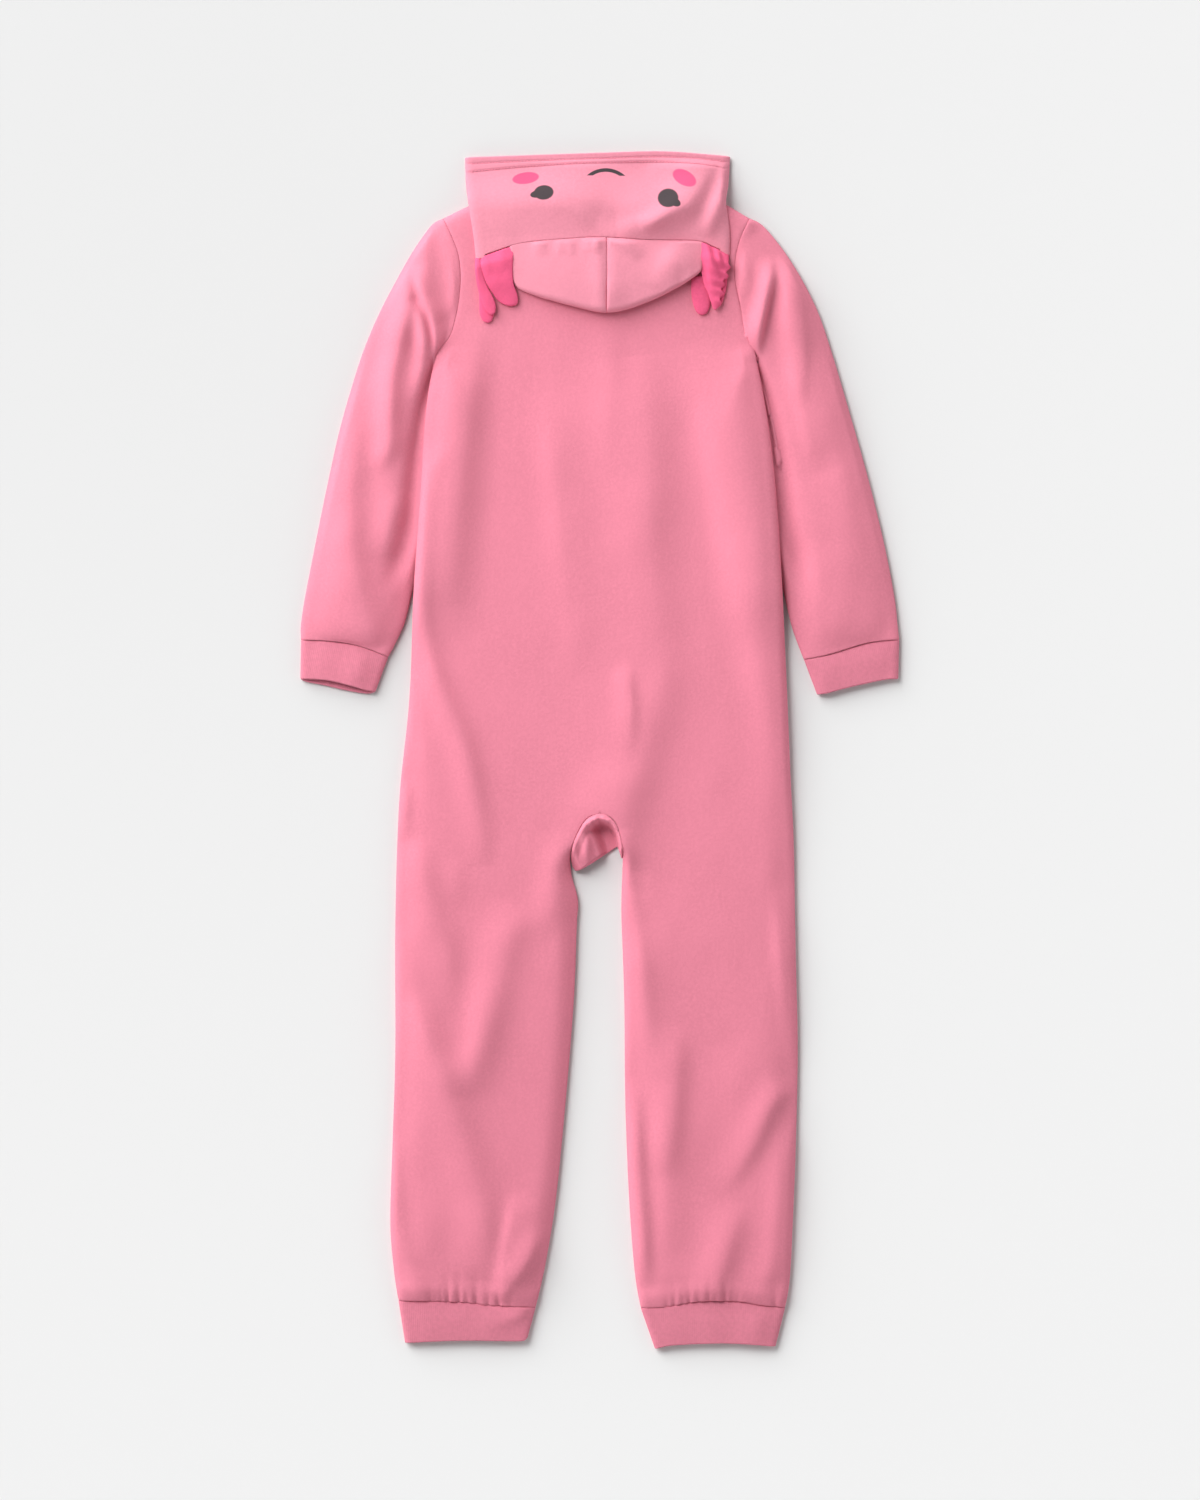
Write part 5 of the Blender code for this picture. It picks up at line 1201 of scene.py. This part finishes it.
def makeCrown(name, node, sign):
    # rows go from the middle seam to the side. Each runs straight from the band's seam with a half sine's
    # rise, over the fold as a half circle, and back under to the neck
    across = spaced(0, (0.05, 7), (1, 46))[:, None]
    sideEnd, middleX = hood["crownSides"][sign], hood["crownMiddle"] + sign * suit["seamGap"] / 2
    seamX = middleX + (sideEnd - middleX) * across
    foldX = middleX + (sideEnd - sign * hood["crownIn"] - middleX) * across
    height = hood["crownHeight"] - hood["crownDrop"] * across ** 3
    radius = height / 2
    seamY = hoodSeamY(seamX) - suit["seamGap"]
    turnY = crownFoldY(foldX) + radius
    seamZ = hoodTop(seamX, seamY + suit["seamGap"])
    clear = hood["crownClear"]
    low = bodyTop(foldX, turnY) + clear + 2.8 * smooth(foldX, 68, 80)
    k = spaced(0, (0.05, 6), (1, 34))[None]
    upperX, upperY = seamX + (foldX - seamX) * k, seamY + (turnY - seamY) * k
    rise = hood["crownRise"][0] - hood["crownRise"][1] * across
    upperZ = seamZ + (low + height - seamZ) * k + rise * np.sin(math.pi * k)
    upperZ = upperZ + hood["crownCreases"] * folds(crownFolds[sign], upperX, upperY) * smooth(k, 0, 0.08)
    upperZ = upperZ + 0.2 * uneven(upperX, upperY, 13, 41)
    turn = np.radians(np.linspace(90, -90, 15))[None, 1:]
    foldY, foldZ = turnY - radius * np.cos(turn), low + radius + radius * np.sin(turn)
    foldZ = foldZ + (upperZ[:, -1:] - low - height) * np.clip(np.sin(turn), 0, 1)
    back = np.linspace(0, 1, 9)[None, 1:]
    neckY = backTopY(np.abs(seamX)) - 1.0
    underX, underY = foldX + (seamX - foldX) * back, turnY + (neckY - turnY) * back
    underZ = bodyTop(underX, underY) + clear + (low - bodyTop(foldX, turnY) - clear) * (1 - back)
    grid = np.concatenate([
        np.stack([upperX, upperY, upperZ], axis=2),
        np.stack([foldX + 0 * turn, foldY, foldZ], axis=2),
        np.stack([underX, underY, underZ], axis=2)], axis=1)
    fromMiddle, upperCount = arcFrom(grid, 0), k.size
    shown = upperCount + 8
    grid[:, :shown, 2] -= seamDip(fromMiddle, "hoodMiddle")[:, :shown]
    outward = np.zeros(grid.shape)
    outward[:, :upperCount, 2] = 1
    normal = normalsOf(grid, False, outward)
    normal[0, :, 0] = 0
    normal[0] = unit(normal[0])
    edge = np.minimum(seamEdge(np.minimum(arcFrom(grid, 1), fromMiddle)),
                      softEdge(np.minimum(arcFrom(grid, 0, True), arcFrom(grid, 1, True)), 1.1))
    points = wall(grid, normal, suit["fleeceWall"], edge)
    return place(makeMesh(name, [points], [finish["hood"]]), "hood_fleece", node)


makeHoodBand()
makeCrown("crownLeft", "hood_crown_left", -1)
makeCrown("crownRight", "hood_crown_right", 1)
print("hood made")

# gill petals, sewn into the hood's seam, each of two layers that puff apart
petals = {
    # left x and y, right x and y, and the underside's height over the back, from the root to the tip
    "gill_left_1": ((-104.0, 431.0, -74.6, 437.8, 6.2), (-103.6, 421.0, -75.4, 428.0, 5.6),
                    (-101.2, 412.0, -75.8, 416.0, 5.2), (-97.8, 403.5, -75.0, 404.5, 4.6),
                    (-93.2, 396.0, -71.6, 394.5, 2.8), (-88.4, 389.8, -71.8, 387.6, 1.6),
                    (-82.5, 386.0, -76.6, 384.8, 1.2)),
    "gill_left_2": ((-108.6, 429.0, -104.4, 430.6, 5.2), (-108.4, 416.0, -102.4, 418.0, 4.8),
                    (-106.6, 403.0, -98.6, 404.0, 4.4), (-103.6, 392.0, -93.2, 393.5, 3.9),
                    (-100.0, 383.0, -90.4, 385.0, 3.5), (-96.0, 377.4, -91.6, 377.2, 3.3)),
    "gill_left_3": ((-105.0, 399.0, -98.6, 400.0, 0.5), (-104.8, 388.0, -94.6, 389.0, 0.5),
                    (-104.4, 379.0, -92.6, 381.0, 0.5), (-101.8, 373.0, -93.4, 374.0, 0.5),
                    (-98.4, 370.8, -96.2, 370.8, 0.5)),
    "gill_right_1": ((82.8, 440.6, 111.4, 427.4, 6.8), (84.6, 430.0, 112.0, 421.0, 6.2),
                     (87.4, 418.0, 110.4, 412.0, 5.0), (90.0, 405.0, 106.8, 403.0, 4.0),
                     (93.8, 396.0, 106.4, 396.0, 3.6), (96.4, 388.0, 104.8, 389.0, 3.4),
                     (98.6, 381.6, 102.0, 381.6, 3.3)),
    "gill_right_2": ((103.6, 412.0, 111.0, 414.0, 0.5), (103.0, 402.0, 110.0, 403.0, 0.5),
                     (102.8, 393.0, 108.0, 394.0, 0.5), (103.4, 387.6, 106.0, 388.2, 0.5)),
    "gill_right_3": ((79.6, 412.0, 93.0, 412.0, 0.5), (79.2, 400.0, 95.0, 401.0, 0.5),
                     (80.4, 389.0, 96.0, 390.0, 0.5), (83.8, 380.6, 93.8, 381.0, 0.5),
                     (87.4, 377.6, 90.0, 377.6, 0.5)),
}
# creases that start in the seam, rows as in the body's table
petalCreases = (
    (2.0, 6, ((-99, 433, 0.5), (-97, 424, 0.6), (-94, 412, 0))),
    (2.0, 6, ((-88, 436, -0.5), (-87, 426, -0.5), (-86, 415, 0))),
    (1.6, 5, ((-106.5, 430, 0.5), (-105.5, 415, 0.5), (-101, 398, 0))),
    (1.5, 5, ((88, 439, -0.9), (92, 424, -1.1), (94, 408, -0.7), (97, 394, 0))),
    (1.4, 4, ((95, 438, 1.3), (98, 426, 1.5), (103, 414, 0.9), (105, 405, 0))),
    (1.2, 3, ((100, 435, -1.0), (102, 427, -1.2), (106, 419, 0))),
    (1.2, 4, ((103, 433, 1.2), (105, 425, 1.4), (108, 417, 0))),
    (1.0, 3, ((107, 430, -0.9), (109, 424, -1.0), (111, 419, 0))),
)
petalShape = {
    "ruffles": {"gill_right_1": 1.5},      # how far a petal's right edge waves
    "waveTurn": 0.62,        # of the ruffle's sine, from row to row
    "puff": 1.7,             # half a wide petal's height, and a narrow one's as a share of its width and more
    "puffShare": 0.11,
    "puffMore": 0.4,
    "clear": 1.2,            # its middle over the back
    "crease": 2.0,
}


def makePetal(node, rows):
    # across each row a closed flat loop, the lower half a little above the back and the upper half puffed up;
    # the loops shrink to a point at the tip, and a ruffled edge goes in and out as a sine down the rows
    across, count = 56, 60
    line = curve(rows, count)
    sewn = rows[0][1] > 425
    row = np.arange(count)[:, None]
    tip = softEdge(count - 1.0 - row, 3.0)
    end = tip * softEdge(1.0 * row, 3.0)
    around = np.linspace(0, 2 * math.pi, across, endpoint=False)[None]
    left, right = line[:, None, 0:2], line[:, None, 2:4]
    share = (0.5 + 0.5 * np.cos(around) * (tip if sewn else end))[:, :, None]
    plan = right + (left - right) * share
    x, y = plan[:, :, 0], plan[:, :, 1]
    wave = petalShape["ruffles"].get(node, 0.0) * (1 - share[:, :, 0]) ** 1.5 * smooth(row, 3, 14) * tip
    waveAngle = petalShape["waveTurn"] * row
    x = x + wave * np.sin(waveAngle)
    atSeam = 1 - smooth(row, 0, 14) if sewn else 0 * row
    y = y + (hoodSeamY(x) - 0.1 - y[:1]) * atSeam
    width = np.linalg.norm(right - left, axis=2)
    puff = np.minimum(petalShape["puff"], petalShape["puffShare"] * width + petalShape["puffMore"]) * end
    upper = np.clip(np.sin(around), 0, 1)
    middle = (left[:, 0] + right[:, 0]) / 2
    base = bodyTop(middle[:, 0], middle[:, 1])[:, None] + line[:, 4:5] + petalShape["clear"]
    base = base + (hoodTop(x, y) - 1.6 - base) * atSeam
    crease = petalShape["crease"] * folds(petalCreases, x, y) * smooth(base - bodyTop(x, y), 2.2, 3.4)
    z = base + puff * np.sin(around) + upper * end * (crease + 0.2 * uneven(x, y, 7, 51))
    z = z + 0.7 * wave * np.cos(waveAngle + 0.5)
    points = np.stack([x, y, z], axis=2).reshape(-1, 3)
    piece = makeMesh("petal_" + node[5:], [(points, [loopFaces(count, across)])], [finish["gill"]])
    return place(piece, "gill_fleece", node)


for node, rows in petals.items():
    makePetal(node, rows)
print("petals made")

# the zip underneath: two woven tapes, each with a coil whose turns mesh with the other's
zipper = {
    "tapeInner": 1.6,
    "tapeEdge": 12.0,
    "tapeThick": 0.5,
    "tapeTop": 443.0,
    "coilTop": 435.8,
    "coilHalfWidth": 1.25,
    "coilHalfHeight": 0.62,
    "coilMiddle": 1.05,
    "wire": 0.27,
    "pitch": 1.5,
}


def makeZipTape(name, node, sign):
    top, end = zipper["tapeTop"], suit["zipEnd"] + 0.4
    inner, outer = zipper["tapeInner"], zipper["tapeEdge"]
    y = spaced(top, (top - 1, 4), (end + 1, 110), (end, 4))[:, None]
    x = sign * spaced(inner, (inner + 0.6, 4), (outer - 0.6, 8), (outer, 4))[None]
    z = suit["zipHeight"] + zipper["tapeThick"] / 2 + zipRaise(0.0, y) + 0 * x
    grid = np.stack([x + 0 * y, y + 0 * x, z], axis=2)
    edge = softEdge(fromEdges(grid), 0.25)
    points = wall(grid, normalsOf(grid, False, (0, 0, 1)), zipper["tapeThick"], edge)
    return place(makeMesh(name, [points], [finish["tape"]]), "zip_tape", node)


def makeZipCoil(name, sign):
    # a wire that winds once for each tooth round the tape's inner edge; its loops reach past the middle
    turns = int((zipper["coilTop"] - suit["zipEnd"] - 2) / zipper["pitch"])
    angle = np.linspace(0, 2 * math.pi * turns, turns * 9)
    shift = zipper["pitch"] / 2 if sign > 0 else 0.0
    x = sign * (zipper["coilMiddle"] + zipper["coilHalfWidth"] * np.cos(angle))
    y = zipper["coilTop"] - 1 - shift - zipper["pitch"] * angle / (2 * math.pi)
    z = suit["zipHeight"] + zipRaise(0.0, y) + zipper["coilHalfHeight"] * np.sin(angle)
    line = np.column_stack([x, y, z])
    grid = wire(line, zipper["wire"], (0.0, 1.0, 0.0))
    grid[0], grid[-1] = line[0], line[-1]
    coil = makeMesh(name, [(grid.reshape(-1, 3), [loopFaces(len(line), wireSides)])], [finish["coil"]])
    return place(coil, "zip_tape")


makeZipTape("zipTapeLeft", "zip_left", -1)
makeZipTape("zipTapeRight", "zip_right", 1)
makeZipCoil("zipCoilLeft", -1)
makeZipCoil("zipCoilRight", 1)
for node in ("zip_slider", "zip_pull"):
    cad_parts[node].data.materials.clear()
    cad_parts[node].data.materials.append(finish["metal"])
print("zip made")


# the two lines of stitches along the hood's hem
thread = {"from": -112.5, "to": 108.5, "stitch": 2.3, "gap": 0.5, "radius": 0.28, "lift": 0.12, "points": 6}


def makeStitches(name, line):
    # each stitch is a thin tube that rises as a half sine, and dips into the cloth and closes at both ends
    stitch, radius, count = thread["stitch"], thread["radius"], thread["points"]
    length = np.concatenate([[0], np.cumsum(np.linalg.norm(np.diff(line, axis=0), axis=1))])
    starts = np.arange(thread["gap"], length[-1] - stitch, stitch + thread["gap"])
    share = np.linspace(0, 1, count)
    at = starts[:, None] + stitch * share[None]
    centre = np.stack([np.interp(at, length, line[:, k]) for k in range(3)], axis=2)
    centre[:, :, 2] += thread["lift"] + radius * (2 * np.sin(math.pi * share) - 1)[None] * 0.8
    thick = radius * softEdge(np.minimum(share, 1 - share) * stitch, 0.3)[None, :, None, None]
    grid = wire(centre, thick, (0.0, 0.0, 1.0))
    firstOf = count * wireSides * np.arange(len(starts))[:, None, None]
    quads = (loopFaces(count, wireSides) + firstOf).reshape(-1, 4)
    return place(makeMesh(name, [(grid.reshape(-1, 3), [quads])], [finish["thread"]]), "fleece")


for number in (0, 1):
    x = np.linspace(thread["from"], thread["to"], 300)
    depth = sewingDepth(number, x)
    y = bandLevel(x, depth / hood["depth"])
    line = np.column_stack([x, y, hoodTop(x, y) + hemRaise(x, depth)])
    makeStitches(f"hemStitches{number + 1}", line)
print("stitches made")
# floor, light and camera
studio = {
    "floorHalf": 4.0,
    "floorDrop": 0.0002,     # under the garment
    "keyFrom": 134.0,        # degrees round from +X
    "keyUp": 26.0,           # degrees above the floor
    "keySpread": 50.0,
    "keyPower": 3.7,
    "lampAt": (-0.6, 0.75, 1.1),
    "lampTo": (0.0, 0.1, 0.0),
    "lampSize": 0.7,
    "lampPower": 8.0,
    "skyLow": 1.62,          # the sky's strength near the horizon and overhead, and between which heights
    "skyHigh": 0.15,
    "skyFrom": 0.25,
    "skyTo": 0.65,
    "floorLook": 0.875,      # how bright the floor shows everywhere
    "evenLight": 0.955,      # what the floor gets from the key and the sky
    "cameraHeight": 3.6,
    "frameHeight": 1.305,    # what the picture shows of the plane at the focus height
    "focusHeight": 0.006,
}


def floorShade(add):
    # the floor is darker where the lamp is nearer, so that it shows evenly: its colour is its look over its
    # light, and the lamp's light is power x height x (axis . way) / (pi^2 x distance^4)
    where = add("TexCoord", {}, "Object")
    way = add("VectorMath", {0: where, 1: studio["lampAt"]}, "Vector", operation="SUBTRACT")
    distance = add("VectorMath", {0: way}, "Value", operation="LENGTH")
    axis = unit(np.array(studio["lampTo"]) - studio["lampAt"])
    forward = add("VectorMath", {0: way, 1: axis}, "Value", operation="DOT_PRODUCT")
    lamp = maths(add, "DIVIDE", forward, maths(add, "POWER", distance, 4.0))
    strength = studio["lampPower"] * studio["lampAt"][2] / math.pi ** 2
    light = maths(add, "MULTIPLY_ADD", lamp, strength, studio["evenLight"])
    return maths(add, "MINIMUM", maths(add, "DIVIDE", studio["floorLook"], light), 0.95)


floorMesh = bpy.data.meshes.new("floor")
half = studio["floorHalf"]
corners = [(-half, -half, 0), (half, -half, 0), (half, half, 0), (-half, half, 0)]
floorMesh.from_pydata(corners, [], [(0, 1, 2, 3)])
floor = addObject("floor", floorMesh)
floor.location.z = -studio["floorDrop"]
floorFinish, addFloor = shaderFor("pale floor", 0.9, specular=0.1)
floorMesh.materials.append(dress(floorFinish, floorShade(addFloor)))

keyLight = addObject("keyLight", bpy.data.lights.new("keyLight", "SUN"))
keyLight.data.angle = math.radians(studio["keySpread"])
keyLight.data.energy = studio["keyPower"]
keyLight.rotation_euler = (math.radians(90 - studio["keyUp"]), 0, math.radians(studio["keyFrom"] + 90))

lamp = addObject("lamp", bpy.data.lights.new("lamp", "AREA"))
lamp.data.shape = "DISK"
lamp.data.size = studio["lampSize"]
lamp.data.energy = studio["lampPower"]
lamp.location = studio["lampAt"]
lampWay = Vector(studio["lampTo"]) - Vector(studio["lampAt"])
lamp.rotation_euler = lampWay.to_track_quat("-Z", "Y").to_euler()

sky = bpy.data.worlds.new("studio")
bpy.context.scene.world = sky
sky.use_nodes = True
addSky = nodeAdder(sky.node_tree)
direction = addSky("TexCoord", {}, "Generated")
brightness = addSky("MapRange", {
    "From Min": studio["skyFrom"], "From Max": studio["skyTo"],
    "To Min": studio["skyLow"], "To Max": studio["skyHigh"],
    "Value": addSky("SeparateXYZ", {"Vector": direction}, "Z"),
}, "Result", interpolation_type="SMOOTHSTEP")
background = sky.node_tree.nodes["Background"]
background.inputs["Color"].default_value = (1, 1, 1, 1)
sky.node_tree.links.new(brightness, background.inputs["Strength"])

camera = addObject("camera", bpy.data.cameras.new("camera"))
camera.data.sensor_width = 36
camera.data.lens = 36 * (studio["cameraHeight"] - studio["focusHeight"]) / studio["frameHeight"]
camera.location = (0, 0, studio["cameraHeight"])
camera.data.clip_end = 20
bpy.context.scene.camera = camera
bpy.context.scene.view_settings.view_transform = "Standard"
print("studio made")
